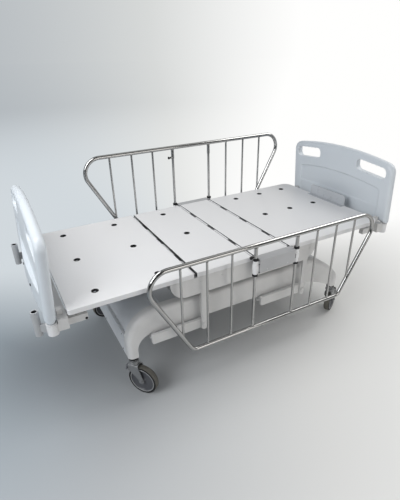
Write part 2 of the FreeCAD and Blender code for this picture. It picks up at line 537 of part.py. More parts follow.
def pole_socket(side):
    """Open-topped socket for a drip pole, with its web to the board post socket."""
    x, y = -POLE_X, side * POLE_Y
    post = V(-BOARD_X, side * POST_Y, SOCKET_LUG_Z)
    low = DECK_TOP - POLE_L
    tube = rod(POLE_R, (x, y, low), (x, y, DECK_TOP))
    way = (post - V(x, y, SOCKET_LUG_Z)).normalize()
    across = V(-way.y, way.x, 0) * (POLE_WEB_T / 2)
    corners = [V(x, y, SOCKET_LUG_Z) + across, post + across, post - across, V(x, y, SOCKET_LUG_Z) - across]
    web = Part.Face(Part.makePolygon(corners + corners[:1])).extrude(V(0, 0, SOCKET_LUG_H))
    seat = rod(POST_SOCKET_R, (post.x, post.y, POST_SOCKET_Z), (post.x, post.y, DECK_TOP))
    bore = rod(POLE_BORE_R, (x, y, low + POLE_FLOOR), (x, y, DECK_TOP + 1))
    return fuse(tube, web).cut(seat).cut(bore)


def frame_tubes():
    """Two long tubes and the cross members, welded into one hollow ladder."""
    half = FRAME_TUBE / 2
    longs = [box(CROSS_X[0] - half, CROSS_X[-1] + half, s * FRAME_TUBE_Y - half, s * FRAME_TUBE_Y + half,
                 FRAME_LOW_Z, FRAME_TOP_Z) for s in (-1, 1)]
    crosses = [box(cx - half, cx + half, -FRAME_TUBE_Y, FRAME_TUBE_Y, FRAME_TOP_Z - CROSS_H, FRAME_TOP_Z)
               for cx in CROSS_X]
    outriggers = [box(px - half, px + half, s * FRAME_TUBE_Y, s * (SIDE_PLATE_Y - HANGER_T),
                      FRAME_LOW_Z, FRAME_TOP_Z)
                  for px in hanger_places() for s in (-1, 1)]
    t = TUBE_WALL
    hollows = [box(CROSS_X[0] - half + t, CROSS_X[-1] + half - t, s * FRAME_TUBE_Y - half + t,
                   s * FRAME_TUBE_Y + half - t, FRAME_LOW_Z + t, FRAME_TOP_Z - t) for s in (-1, 1)]
    bay = FRAME_TUBE_Y - half - t
    hollows += [box(cx - half + t, cx + half - t, -bay, bay, FRAME_TOP_Z - CROSS_H + t, FRAME_TOP_Z - t)
                for cx in CROSS_X]
    return fuse(longs[0], longs[1], *(crosses + outriggers)).cut(Part.makeCompound(hollows))


def hanger_places():
    """X of the upper lift pivots."""
    return (LIFT_FOOT_X + LIFT_ARM_L, LIFT_HEAD_X + LIFT_ARM_L)


def side_plate(side):
    """Boat-shaped side plate of the upper frame."""
    x0, x1, z0, z1, r = SIDE_PLATE_X0, SIDE_PLATE_X1, SIDE_PLATE_LOW_Z, SIDE_PLATE_TOP_Z, SIDE_PLATE_END_R
    plate = box(x0, x1, side * SIDE_PLATE_Y, side * (SIDE_PLATE_Y + SIDE_PLATE_T), z0, z1)
    return round_edges(plate, r, lambda e: e.BoundBox.YLength > SIDE_PLATE_T / 2 and e.BoundBox.ZMax < z0 + 1
                       and e.BoundBox.XLength < 1)


def hanger(x, side):
    """Flat bar that hangs from the frame to the upper lift pivot."""
    low = LIFT_PIVOT_Z - HANGER_W
    y0, y1 = side * (SIDE_PLATE_Y - HANGER_T), side * SIDE_PLATE_Y
    bar = box(x - HANGER_W / 2, x + HANGER_W / 2, y0, y1, low, HANGER_TOP_Z)
    bar = round_edges(bar, 10.0, lambda e: e.BoundBox.YLength > 1 and e.BoundBox.ZMax < low + 1)
    hole = rod(PIVOT_BOLT_R + FIT, (x, y0 - side, LIFT_PIVOT_Z), (x, y1 + side, LIFT_PIVOT_Z))
    return bar.cut(hole)


def pivot_bolt(x, side):
    """Hexagon-headed bolt through a hanger and the end of its lift arm."""
    y_head = side * SIDE_PLATE_Y
    shank = rod(PIVOT_BOLT_R, (x, side * (ARM_Y - 1), LIFT_PIVOT_Z), (x, y_head, LIFT_PIVOT_Z))
    corners = [V(x + 12 * math.cos(math.radians(a)), y_head, LIFT_PIVOT_Z + 12 * math.sin(math.radians(a)))
               for a in range(0, 360, 60)]
    head = Part.Face(Part.makePolygon(corners + corners[:1])).extrude(V(0, side * 6, 0))
    washer = rod(13.0, (x, y_head, LIFT_PIVOT_Z), (x, y_head + side * 1.5, LIFT_PIVOT_Z))
    return fuse(shank, head, washer)


def side_box(side):
    """White cover beside the seat section that carries the rail sleeves."""
    x0, x1 = RAIL_X - SIDE_BOX_HALF, RAIL_X + SIDE_BOX_HALF
    cover = box(x0, x1, side * SIDE_BOX_Y0, side * SIDE_BOX_Y1, SIDE_BOX_Z0, DECK_TOP)
    cover = round_edges(cover, 6.0, lambda e: e.BoundBox.XLength > 10
                        and abs(abs(e.BoundBox.YMax + e.BoundBox.YMin) / 2 - SIDE_BOX_Y1) < 1)
    flange = box(x0, x1, side * (SIDE_PLATE_Y + SIDE_PLATE_T), side * SIDE_BOX_Y0, SIDE_BOX_Z0,
                 SIDE_PLATE_TOP_Z - 3)
    t = SIDE_BOX_WALL
    hollow = box(x0 + t, x1 - t, side * (SIDE_PLATE_Y + SIDE_PLATE_T), side * (SIDE_BOX_Y1 - t),
                 SIDE_BOX_Z0 + t, SIDE_PLATE_TOP_Z - 3 - t)
    return fuse(cover, flange).cut(hollow)


def sleeve_places():
    """X of the two guide rods, foot side first."""
    return (RAIL_X - GUIDE_X, RAIL_X + GUIDE_X)


def rail_sleeve(x, side):
    """Guide sleeve with its clamp band and the web that fixes it to the side box."""
    inward = 1 if x < RAIL_X else -1
    y = side * RAIL_Y
    middle = (SLEEVE_Z0 + SLEEVE_Z1) / 2
    tube = rod(SLEEVE_R, (x, y, SLEEVE_Z0), (x, y, SLEEVE_Z1))
    band = rod(SLEEVE_BAND_R, (x, y, middle - SLEEVE_BAND_H / 2), (x, y, middle + SLEEVE_BAND_H / 2))
    web = box(x, RAIL_X - inward * SIDE_BOX_HALF, y - SLEEVE_WEB_T / 2, y + SLEEVE_WEB_T / 2,
              SLEEVE_Z0 + 4, SLEEVE_Z1 - 6)
    return fuse(tube, band, web).cut(rod(SLEEVE_BORE_R, (x, y, SLEEVE_Z0 - 1), (x, y, SLEEVE_Z1 + 1)))


def bushing(x, side, z0):
    """Black guide bush on one end of a sleeve."""
    y = side * RAIL_Y
    ring = pipe(BUSH_R, GUIDE_R + FIT, (x, y, z0), (x, y, z0 + BUSH_H))
    return round_edges(ring, 2.0, lambda e: at_level(e, "Z", z0 + BUSH_H) and e.Curve.Radius > GUIDE_R + 1)


def make_upper_frame():
    """Everything that rises with the deck but does not fold."""
    export("frame_tubes", frame_tubes())
    export("frame_side_plates", side_plate(-1), side_plate(1))
    export("frame_hangers", *[hanger(x, s) for x in hanger_places() for s in (-1, 1)])
    export("lift_pivot_bolts", *[pivot_bolt(x, s) for x in hanger_places() for s in (-1, 1)])
    export("frame_end_beams", end_beam("foot"), end_beam("head"))
    export("board_post_sockets", *[post_socket(e, s) for e in ENDS for s in (-1, 1)])
    export("pole_sockets", pole_socket(-1), pole_socket(1))
    export("deck_buffers", *[rod(BUFFER_R, (x, s * RIB_Y, FRAME_TOP_Z), (x, s * RIB_Y, HEM_Z - SEAT_AIR))
                             for x in CROSS_X if not THIGH_X < x < BACK_X for s in (-1, 1)])
    export("seat_side_boxes", side_box(-1), side_box(1))
    export("rail_sleeves", *[rail_sleeve(x, s) for x in sleeve_places() for s in (-1, 1)])
    export("rail_bushings", *[bushing(x, s, z) for x in sleeve_places() for s in (-1, 1)
                              for z in (SLEEVE_Z0 - BUSH_H, SLEEVE_Z1)])


# ---- side rails ---------------------------------------------------------------------------
def rail_path():
    """Closed centre line of the rail tube: long top, slanted ends, short bottom."""
    top, low = RAIL_TOP_HALF, RAIL_LOW_HALF
    corners = [V(-top, 0, RAIL_TOP_Z), V(top, 0, RAIL_TOP_Z), V(low, 0, RAIL_LOW_Z), V(-low, 0, RAIL_LOW_Z)]
    bends = [RAIL_TOP_BEND, RAIL_TOP_BEND, RAIL_LOW_BEND, RAIL_LOW_BEND]
    starts, ends, arcs = [], [], []
    for i, corner in enumerate(corners):
        before, after = (corners[i - 1] - corner).normalize(), (corners[(i + 1) % 4] - corner).normalize()
        half = before.getAngle(after) / 2
        cut_back = bends[i] / math.tan(half)
        middle = (before + after).normalize() * (bends[i] / math.sin(half) - bends[i])
        a, b = corner + before * cut_back, corner + after * cut_back
        arcs.append(Part.Arc(a, corner + middle, b).toShape())
        starts.append(a)
        ends.append(b)
    edges = []
    for i in range(4):
        edges += [arcs[i], Part.makeLine(ends[i], starts[(i + 1) % 4])]
    return Part.Wire(Part.sortEdges(edges)[0])


def rail_loop(radius):
    """Closed bend of round bar at the near side's lowered place, with its middle at x = 0, y = 0."""
    wire = rail_path()
    first = wire.Edges[0]
    point = first.valueAt(first.FirstParameter)
    direction = first.tangentAt(first.FirstParameter)
    circle = Part.Wire(Part.makeCircle(radius, point, direction))
    return wire.makePipeShell([circle], True, False)


def slant_z(x):
    """Height of the slanted tube's centre line at a distance from the rail's middle."""
    share = (abs(x) - RAIL_LOW_HALF) / (RAIL_TOP_HALF - RAIL_LOW_HALF)
    return RAIL_LOW_Z + max(share, 0.0) * (RAIL_TOP_Z - RAIL_LOW_Z)


def rail_bars(loop):
    """The six plain bars, each coped to the tube."""
    bars = []
    for side in (-1, 1):
        for n in range(1, BARS_EACH_SIDE + 1):
            x = side * (GUIDE_X + n * BAR_PITCH)
            bar = rod(BAR_R, (x, 0, slant_z(x)), (x, 0, RAIL_TOP_Z)).cut(loop)
            bars.append(max(bar.Solids, key=lambda s: s.Volume))
    return bars


def guide_rods(loop):
    """The two middle bars that run in the sleeves: stop collar, lock grooves and the release boss."""
    rods = []
    for x in (-GUIDE_X, GUIDE_X):
        shaft = rod(GUIDE_R, (x, 0, RAIL_LOW_Z), (x, 0, RAIL_TOP_Z))
        shaft = fuse(shaft, rod(GUIDE_COLLAR_R, (x, 0, GUIDE_COLLAR_Z), (x, 0, RAIL_TOP_Z)))
        for z in (RAIL_LOW_Z + up for up in GROOVE_Z):
            shaft = shaft.cut(pipe(GUIDE_R + 1, GUIDE_R - GROOVE_DEPTH, (x, 0, z), (x, 0, z + GROOVE_H)))
        if x < 0:
            boss = rod(LATCH_BOSS_R, (x, 0, LATCH_Z), (x - LATCH_BOSS_L, 0, LATCH_Z))
            pin_bore = rod(LATCH_PIN_R + FIT, (x, 0, LATCH_Z), (x - LATCH_BOSS_L - 1, 0, LATCH_Z))
            shaft = fuse(shaft, boss).cut(pin_bore)
        shaft = shaft.cut(loop)
        rods.append(max(shaft.Solids, key=lambda s: s.Volume))
    return rods


def rail_latch():
    """Sprung release button on the foot-side guide rod; it travels towards the rod."""
    face = -GUIDE_X - LATCH_BOSS_L - LATCH_TRAVEL - 1
    pin = rod(LATCH_PIN_R, (-GUIDE_X - LATCH_TRAVEL - 2, 0, LATCH_Z), (face, 0, LATCH_Z))
    knob = rod(LATCH_KNOB_R, (face, 0, LATCH_Z), (face - LATCH_KNOB_L, 0, LATCH_Z))
    return fuse(pin, round_edges(knob, 2.0, lambda e: e.BoundBox.XMax < face - LATCH_KNOB_L + 1))


def make_rails():
    """Both rails, the near one down and the far one up."""
    loop = rail_loop(RAIL_TUBE_R)
    tube = loop.cut(rail_loop(RAIL_TUBE_R - RAIL_TUBE_WALL))
    for name, side in SIDES.items():
        place = V(RAIL_X, side * RAIL_Y, RAIL_UP[name] * RAIL_LIFT)
        for node, solids in (("rail_tube", [tube]), ("rail_bars", rail_bars(loop)),
                             ("rail_guide_rods", guide_rods(loop)), ("rail_latch", [rail_latch()])):
            export(name + "_" + node, *[solid.translated(place) for solid in solids])


# ---- base ---------------------------------------------------------------------------------
def base_outline():
    """Side view of the base: tight bend at the foot, long sweep at the head, one arch between."""
    foot_out, head_out = -BASE_END_X, BASE_END_X
    foot_in, head_in = foot_out + LEG_FOOT_W, head_out - LEG_FOOT_W
    bend, arch = FOOT_BEND_R, FOOT_ARCH_R
    sweep = Part.BSplineCurve()
    sweep.interpolate([V(head_out, 0, LEG_END_Z + SWEEP_END_H)]
                      + [V(head_out - x, 0, LEG_END_Z + z) for x, z in SWEEP_POINTS]
                      + [V(head_out - SWEEP_L, 0, BASE_TOP_Z)],
                      InitialTangent=V(0, 0, 1), FinalTangent=V(-1, 0, 0))
    under = Part.BSplineCurve()
    under.interpolate([V(head_out - UNDER_L, 0, BASE_ARCH_Z)]
                      + [V(head_out - x, 0, BASE_ARCH_Z - z) for x, z in UNDER_POINTS]
                      + [V(head_in, 0, LEG_END_Z)],
                      InitialTangent=V(1, 0, 0), FinalTangent=V(0.72, 0, -0.7))
    s = math.sqrt(0.5)
    foot_top = V(foot_out + bend, 0, BASE_TOP_Z)
    foot_arc = Part.Arc(foot_top, V(foot_out + bend * (1 - s), 0, BASE_TOP_Z - bend * (1 - s)),
                        V(foot_out, 0, BASE_TOP_Z - bend)).toShape()
    arch_arc = Part.Arc(V(foot_in, 0, BASE_ARCH_Z - arch),
                        V(foot_in + arch * (1 - s), 0, BASE_ARCH_Z - arch * (1 - s)),
                        V(foot_in + arch, 0, BASE_ARCH_Z)).toShape()
    return [Part.makeLine(V(head_in, 0, LEG_END_Z), V(head_out, 0, LEG_END_Z)),
            Part.makeLine(V(head_out, 0, LEG_END_Z), V(head_out, 0, LEG_END_Z + SWEEP_END_H)),
            sweep.toShape(),
            Part.makeLine(V(head_out - SWEEP_L, 0, BASE_TOP_Z), foot_top),
            foot_arc,
            Part.makeLine(V(foot_out, 0, BASE_TOP_Z - bend), V(foot_out, 0, LEG_END_Z)),
            Part.makeLine(V(foot_out, 0, LEG_END_Z), V(foot_in, 0, LEG_END_Z)),
            Part.makeLine(V(foot_in, 0, LEG_END_Z), V(foot_in, 0, BASE_ARCH_Z - arch)),
            arch_arc,
            Part.makeLine(V(foot_in + arch, 0, BASE_ARCH_Z), V(head_out - UNDER_L, 0, BASE_ARCH_Z)),
            under.toShape()]


def base_beam(side):
    """Side beam of the base with its legs and the bearings of the lift shafts."""
    y0, y1 = side * (BASE_Y - BASE_BEAM_W), side * BASE_Y
    beam = prism_y(base_outline(), y0, y1)
    beam = round_edges(beam, BASE_EDGE_R, lambda e: at_level(e, "Y", y1) and e.BoundBox.ZMin >= LEG_END_Z - 1
                       and outer_edge(e))
    parts = []
    for x in (LIFT_FOOT_X, LIFT_HEAD_X):
        parts.append(box(x - 20, x + 20, y0, y1 - side * 10, LIFT_PIVOT_Z - 20, BASE_ARCH_Z + 5))
    shafts = [rod(TORQUE_TUBE_R + FIT, (x, y0, LIFT_PIVOT_Z), (x, y1, LIFT_PIVOT_Z))
              for x in (LIFT_FOOT_X, LIFT_HEAD_X)]
    stems = [caster_stem_bore(e, side) for e in ENDS]
    return fuse(beam, *parts).cut(Part.makeCompound(shafts + stems)).cut(base_hollow(side))


def base_inset(wall):
    """Corner points of the base's side view, moved inwards by a wall, above the caster stems."""
    end, low = BASE_END_X - wall, LEG_END_Z + STEM_L + wall
    bend_x, bend_z = -BASE_END_X + FOOT_BEND_R, BASE_TOP_Z - FOOT_BEND_R
    arch_x, arch_z = -BASE_END_X + LEG_FOOT_W + FOOT_ARCH_R, BASE_ARCH_Z - FOOT_ARCH_R
    bend, arch = FOOT_BEND_R - wall, FOOT_ARCH_R + wall
    turn = [math.radians(a) for a in (180, 150, 120, 90)]
    points = [(-end, low)]
    points += [(bend_x + bend * math.cos(a), bend_z + bend * math.sin(a)) for a in turn]
    points += [(BASE_END_X - SWEEP_L, BASE_TOP_Z - wall)]
    points += [(end - x, LEG_END_Z + z - wall) for x, z in reversed(SWEEP_POINTS)]
    points += [(end - SWEEP_INSET, low)]
    points += [(BASE_END_X - x + wall, BASE_ARCH_Z - z + wall) for x, z in reversed(UNDER_POINTS)]
    points += [(BASE_END_X - UNDER_L, BASE_ARCH_Z + wall)]
    points += [(arch_x + arch * math.cos(a), arch_z + arch * math.sin(a)) for a in reversed(turn[1:])]
    return points + [(arch_x - arch, low)]


def base_hollow(side):
    """Hollow of a side beam, closed all round, in two steps so that it clears the rounded edge."""
    y0, y1 = BASE_Y - BASE_BEAM_W + BASE_WALL, BASE_Y - BASE_EDGE_R
    deep = polygon_y(base_inset(BASE_WALL), side * y0, side * y1)
    shallow = polygon_y(base_inset(2 * BASE_WALL), side * y1, side * (BASE_Y - 2 * BASE_WALL))
    return deep.fuse(shallow)


def outer_edge(edge):
    """True for the edges along the outside of the base's side view."""
    mid = edge.valueAt((edge.FirstParameter + edge.LastParameter) / 2)
    above_arch = mid.z > BASE_ARCH_Z + 20
    end_face = abs(mid.x) > BASE_END_X - 1
    sweep = mid.x > 0 and mid.z > BASE_ARCH_Z - 90 + (BASE_END_X - mid.x) * 0.5
    return above_arch or end_face or sweep


def caster_stem_bore(end, side):
    """Hole in a leg for the caster's stem."""
    x, y = ENDS[end] * CASTER_X, side * CASTER_Y
    return rod(STEM_R + FIT, (x, y, LEG_END_Z - 1), (x, y, LEG_END_Z + STEM_L + 2))


def end_cover(end):
    """Full-width bent cover between the two side beams, with a flat band low on the foot end."""
    inner, s = BASE_Y - BASE_BEAM_W, ENDS[end]
    sink = BAND_T if end == "foot" else 0.0
    block = prism_y(base_outline(), -inner, inner)
    skin = block.translated(V(-s * sink, 0, -sink))
    shell = skin.cut(skin.translated(V(-s * END_COVER_T, 0, -END_COVER_T))).common(block)
    reach = BASE_END_X - (FOOT_BEND_R + 40 if end == "foot" else 300)
    shell = shell.common(box(s * reach, s * (BASE_END_X + 1), -inner, inner, LEG_END_Z, BASE_TOP_Z + 1))
    shell = max(shell.Solids, key=lambda solid: solid.BoundBox.ZMax)
    if end == "head":
        return shell
    band = box(-BASE_END_X, -BASE_END_X + BAND_T + END_COVER_T, -inner, inner, LEG_END_Z, BAND_TOP_Z)
    return fuse(shell, band)


def base_cross_tubes():
    """Square tubes that tie the two side beams together."""
    inner = BASE_Y - BASE_BEAM_W
    low = LIFT_ACTUATOR_Z + LIFT_BODY_R + SADDLE_AIR
    half, t = BASE_CROSS / 2, TUBE_WALL
    tubes = []
    for x in BASE_CROSS_X:
        hollow = box(x - half + t, x + half - t, -inner, inner, low + t, low + BASE_CROSS - t)
        tubes.append(box(x - half, x + half, -inner, inner, low, low + BASE_CROSS).cut(hollow))
    return tubes


def caster_collar(end, side):
    """Fixed stem with the black ring under the leg."""
    x, y = ENDS[end] * CASTER_X, side * CASTER_Y
    stem = rod(STEM_R, (x, y, FORK_TOP_Z + SEAT_AIR), (x, y, LEG_END_Z + STEM_L))
    collar = rod(COLLAR_R, (x, y, FORK_TOP_Z + SEAT_AIR), (x, y, LEG_END_Z - RING_H))
    ring = rod(RING_R, (x, y, LEG_END_Z - RING_H), (x, y, LEG_END_Z))
    return fuse(stem, collar, ring)


def make_base():
    """The parts that stay on the floor side of the lift."""
    for name, side in SIDES.items():
        export(name + "_base_beam", base_beam(side))
    for end in ENDS:
        export(end + "_end_cover", end_cover(end))
    export("base_cross_tubes", *base_cross_tubes())
    export("caster_stems", *[caster_collar(e, s) for e in ENDS for s in (-1, 1)])


# ---- lift ---------------------------------------------------------------------------------
def lift_arms(x):
    """Two arms on one torque tube."""
    tube = rod(TORQUE_TUBE_R, (x, -ARM_Y - ARM_T, LIFT_PIVOT_Z), (x, ARM_Y + ARM_T, LIFT_PIVOT_Z))
    arms = []
    for s in (-1, 1):
        arm = box(x - 24, x + LIFT_ARM_L + 24, s * ARM_Y, s * (ARM_Y + ARM_T),
                  LIFT_PIVOT_Z - ARM_H / 2, LIFT_PIVOT_Z + ARM_H / 2)
        arm = round_edges(arm, 8.0, lambda e: e.BoundBox.YLength > 1)
        tip = x + LIFT_ARM_L
        arms.append(arm.cut(rod(PIVOT_BOLT_R + FIT, (tip, s * (ARM_Y - 1), LIFT_PIVOT_Z),
                                (tip, s * (ARM_Y + ARM_T + 1), LIFT_PIVOT_Z))))
    return fuse(tube, *arms)


def lift_crank(weldment):
    """Crank plates and pin that the lift actuator drives."""
    a = math.radians(CRANK_REST)
    px, pz = LIFT_FOOT_X + CRANK_R * math.cos(a), LIFT_PIVOT_Z + CRANK_R * math.sin(a)
    parts = []
    for s in (-1, 1):
        y0, y1 = s * (EYE_T / 2 + SLOT_PLAY), s * EYE_REACH
        plate = polygon_y([(LIFT_FOOT_X - 8, LIFT_PIVOT_Z + 8), (LIFT_FOOT_X + 10, LIFT_PIVOT_Z - 6),
                           (px + 9, pz - 2), (px + 1, pz + 9), (px - 8, pz + 4)], y0, y1)
        parts.append(plate)
    parts.append(rod(CRANK_PIN_R, (px, -EYE_REACH, pz), (px, EYE_REACH, pz)))
    return fuse(weldment, *parts)


def slotted_eye(x, z, sag):
    """Rod end with an upright slot, so the pin can rise and fall by its sag as the crank turns."""
    half_w = EYE_W / 2
    half_h = sag / 2 + CRANK_PIN_R + SLOT_PLAY
    slot_w = CRANK_PIN_R + SLOT_PLAY
    block = box(x - half_w, x + half_w, -EYE_T / 2, EYE_T / 2, z - half_h - EYE_WALL, z + half_h + EYE_WALL)
    block = round_edges(block, 6.0, lambda e: e.BoundBox.YLength > 1)
    return block.cut(box(x - slot_w, x + slot_w, -EYE_T, EYE_T, z - half_h, z + half_h))


def actuator_body(blind, mouth, z, radius, rod_r, saddle_x, saddle_z):
    """Tube of a linear actuator with its motor below and the saddles that hold it up under the frame."""
    way = 1 if mouth > blind else -1
    tube = rod(radius, (blind, 0, z), (mouth, 0, z))
    start = blind + way * MOTOR_START
    motor = box(start, start + way * MOTOR_L, -radius, radius, z - radius - MOTOR_DROP, z)
    motor = round_edges(motor, 8.0, lambda e: e.BoundBox.XLength > 10 and e.BoundBox.ZMax < z - radius)
    saddles = [box(x - SADDLE_L / 2, x + SADDLE_L / 2, -SADDLE_W / 2, SADDLE_W / 2, z, saddle_z)
               for x in saddle_x]
    bore = rod(rod_r + SEAT_AIR, (blind + way * 8, 0, z), (mouth + way, 0, z))
    return fuse(tube, motor, *saddles).cut(bore)


def actuator_rod(pin_x, mouth, z, radius, sag):
    """Rod with its slotted eye; the rest of it is hidden in the body."""
    way = 1 if mouth > pin_x else -1
    eye = slotted_eye(pin_x, z, sag)
    return fuse(eye, rod(radius, (pin_x + way * (EYE_W / 2 - 1), 0, z), (mouth + way * ROD_HIDDEN, 0, z)))


def make_lift():
    """Lift arms and the two linear actuators."""
    export("foot_lift_arms", lift_crank(lift_arms(LIFT_FOOT_X)))
    export("head_lift_arms", lift_arms(LIFT_HEAD_X))
    pin_x = LIFT_FOOT_X + CRANK_R * math.cos(math.radians(CRANK_REST))
    z = LIFT_ACTUATOR_Z
    export("lift_actuator_rod", actuator_rod(pin_x, LIFT_BODY_X1, z, LIFT_ROD_R, CRANK_SAG))
    export("lift_actuator_body", actuator_body(LIFT_BODY_X0, LIFT_BODY_X1, z, LIFT_BODY_R, LIFT_ROD_R,
                                               BASE_CROSS_X[:2], z + LIFT_BODY_R + SADDLE_AIR))
    pin_x = BACK_X + BACK_LEVER_R * math.cos(math.radians(BACK_LEVER_REST))
    z = BACK_ACTUATOR_Z
    export("back_actuator_rod", actuator_rod(pin_x, BACK_BODY_X1, z, BACK_ROD_R, BACK_SAG))
    export("back_actuator_body", actuator_body(BACK_BODY_X0, BACK_BODY_X1, z, BACK_BODY_R, BACK_ROD_R,
                                               CROSS_X[3:5], FRAME_TOP_Z - CROSS_H))


# ---- casters ------------------------------------------------------------------------------
def placed(shape, name):
    """Turn a caster part to its heading and move it under its leg."""
    end, side = name.split("_")[1], name.split("_")[0]
    shape.rotate(V(0, 0, 0), V(0, 0, 1), CASTER_HEADING[name])
    shape.translate(V(ENDS[end] * CASTER_X, SIDES[side] * CASTER_Y, 0))
    return shape


def fork(braked):
    """Swivel fork: cap, two cheeks and the axle, trailing along +X."""
    cap = rod(CAP_R, (0, 0, FORK_TOP_Z - CAP_H), (0, 0, FORK_TOP_Z))
    cap = round_edges(cap, 4.0, lambda e: at_level(e, "Z", FORK_TOP_Z) and e.BoundBox.XLength > 1)
    crown = box(-24, 30, -FORK_GAP - FORK_T, FORK_GAP + FORK_T, FORK_TOP_Z - CAP_H - 8, FORK_TOP_Z - CAP_H)
    crown = round_edges(crown, 7.0, is_vertical)
    z = WHEEL_R
    cheeks = []
    for s in (-1, 1):
        cheeks.append(polygon_y([(-22, FORK_TOP_Z - CAP_H - 1), (28, FORK_TOP_Z - CAP_H - 1),
                                 (TRAIL + 15, z + 6), (TRAIL + 9, z - 10), (TRAIL - 9, z - 10),
                                 (TRAIL - 15, z + 4), (-20, FORK_TOP_Z - CAP_H - 28)],
                                s * FORK_GAP, s * (FORK_GAP + FORK_T)))
    reach = FORK_GAP + FORK_T
    axle = rod(AXLE_R, (TRAIL, -reach, z), (TRAIL, reach, z))
    nuts = [rod(AXLE_R + 4, (TRAIL, s * reach, z), (TRAIL, s * (reach + 4), z)) for s in (-1, 1)]
    whole = fuse(cap, crown, axle, *(cheeks + nuts))
    if braked:
        whole = whole.cut(rod(PEDAL_PIN_R + FIT, (PEDAL_X, -reach - 1, PEDAL_Z), (PEDAL_X, reach + 1, PEDAL_Z)))
    return whole


def wheel_hub():
    """Grey disc wheel with a dished face and a raised hub."""
    r_in = WHEEL_R - TREAD_T
    w = WHEEL_W / 2
    disc = rod(r_in, (TRAIL, -w + 2, WHEEL_R), (TRAIL, w - 2, WHEEL_R))
    for s in (-1, 1):
        dish = pipe(r_in - 6, 17.0, (TRAIL, s * (w - 9), WHEEL_R), (TRAIL, s * w, WHEEL_R))
        disc = disc.cut(dish)
    hub = rod(14.0, (TRAIL, -w, WHEEL_R), (TRAIL, w, WHEEL_R))
    return fuse(disc, hub).cut(rod(AXLE_R + FIT, (TRAIL, -w - 1, WHEEL_R), (TRAIL, w + 1, WHEEL_R)))


def tyre():
    """Tread ring with rounded shoulders."""
    w = WHEEL_W / 2 - 1
    ring = rod(WHEEL_R, (TRAIL, -w, WHEEL_R), (TRAIL, w, WHEEL_R))
    ring = round_edges(ring, 7.0, lambda e: e.BoundBox.YLength < 0.1)
    return ring.cut(rod(WHEEL_R - TREAD_T, (TRAIL, -w - 1, WHEEL_R), (TRAIL, w + 1, WHEEL_R)))


def brake_pedal():
    """Foot pedal in front of the fork, on a pin through its cheeks."""
    x, z = PEDAL_X, PEDAL_Z
    reach = FORK_GAP + FORK_T
    pin = rod(PEDAL_PIN_R, (x, -reach, z), (x, reach, z))
    barrel = rod(PEDAL_BARREL_R, (x, -FORK_GAP + PLAY, z), (x, FORK_GAP - PLAY, z))
    half = PEDAL_W / 2
    arm = polygon_y([(x + dx, z + dz) for dx, dz in PEDAL_PROFILE], -half, half)
    return fuse(pin, barrel, arm)


def make_casters():
    """Four casters, two of them with a brake."""
    for name in CASTER_HEADING:
        export(name + "_caster_fork", placed(fork(name in BRAKED), name))
        export(name + "_caster_wheel", placed(wheel_hub(), name))
        export(name + "_caster_tyre", placed(tyre(), name))
        if name in BRAKED:
            export(name + "_brake_pedal", placed(brake_pedal(), name))


os.makedirs("parts", exist_ok=True)
make_deck()
make_boards()
make_upper_frame()
make_rails()
make_base()
make_lift()
make_casters()
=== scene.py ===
"""Looks of the pediatric hospital cot: materials, moulded parts, fittings, studio and camera.

Metres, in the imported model's own frame: +X to the head end, -Y to the near side, +Z up.
"""
import bmesh
import bpy
import json
import math
from mathutils import Matrix, Vector


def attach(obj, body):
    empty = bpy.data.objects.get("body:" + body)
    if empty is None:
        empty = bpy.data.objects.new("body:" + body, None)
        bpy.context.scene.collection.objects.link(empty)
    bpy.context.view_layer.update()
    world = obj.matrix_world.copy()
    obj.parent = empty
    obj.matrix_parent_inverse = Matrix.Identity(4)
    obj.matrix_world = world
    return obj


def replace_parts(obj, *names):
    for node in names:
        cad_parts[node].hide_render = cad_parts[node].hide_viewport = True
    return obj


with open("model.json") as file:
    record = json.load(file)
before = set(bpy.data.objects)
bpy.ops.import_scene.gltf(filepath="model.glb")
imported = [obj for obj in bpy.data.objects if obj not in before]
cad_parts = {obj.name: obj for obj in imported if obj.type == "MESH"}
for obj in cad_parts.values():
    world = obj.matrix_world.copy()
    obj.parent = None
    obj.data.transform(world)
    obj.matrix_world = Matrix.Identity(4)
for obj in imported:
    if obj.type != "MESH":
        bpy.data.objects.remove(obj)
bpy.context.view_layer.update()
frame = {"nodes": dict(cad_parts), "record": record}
NODES = frame["nodes"]
MM = 0.001
SIDES = {"near": -1, "far": 1}
ENDS = {"foot": -1, "head": 1}

# ---- camera of the photograph's frame -------------------------------------------------------
CAMERA_AT = Vector((-0.9902, -1.7353, 1.4685))
CAMERA_YAW, CAMERA_PITCH, CAMERA_ROLL = (math.radians(a) for a in (-28.02, -26.964, -1.39))
CAMERA_LENS, SENSOR = 28.58, 36.0


# ---- dimensions of the CAD that the pieces here are fitted to ----------------------------------
SHIFT = 14 * MM             # from the middle between the boards to the origin
DECK_TOP = 590 * MM
POST_X = 932 * MM           # board posts
POLE_X, POLE_Y = 982 * MM, 338 * MM
BOARD_LEAN = math.radians(4.0)
BOARD_VOXEL, BOARD_ROUNDING = 3.0 * MM, 5
CASTER_X, CASTER_Y = 619 * MM, 326 * MM
CASTER_HEADING = {"near_foot": -53.0, "near_head": 28.0, "far_foot": 10.0, "far_head": 12.0}
WHEEL_R, TRAIL, AXLE_R, FORK_TIP_R = 75 * MM, 44 * MM, 5 * MM, 14.5 * MM
RAIL_X, RAIL_Y, RAIL_LIFT = 116 * MM, 432 * MM, 282 * MM
RAIL_TUBE_R, GUIDE_X, BAR_PITCH = 11 * MM, 122.8 * MM, 128.6 * MM
RAIL_TUBE_Z = (203 * MM, 664 * MM)        # lower and upper tube, rail down
RAIL_SPREAD = (461 * MM, 710 * MM)        # half lengths of the lower and upper tube
HINGE_X = (-304 * MM, 5 * MM, 216 * MM)   # knee, thigh and back hinges of the deck


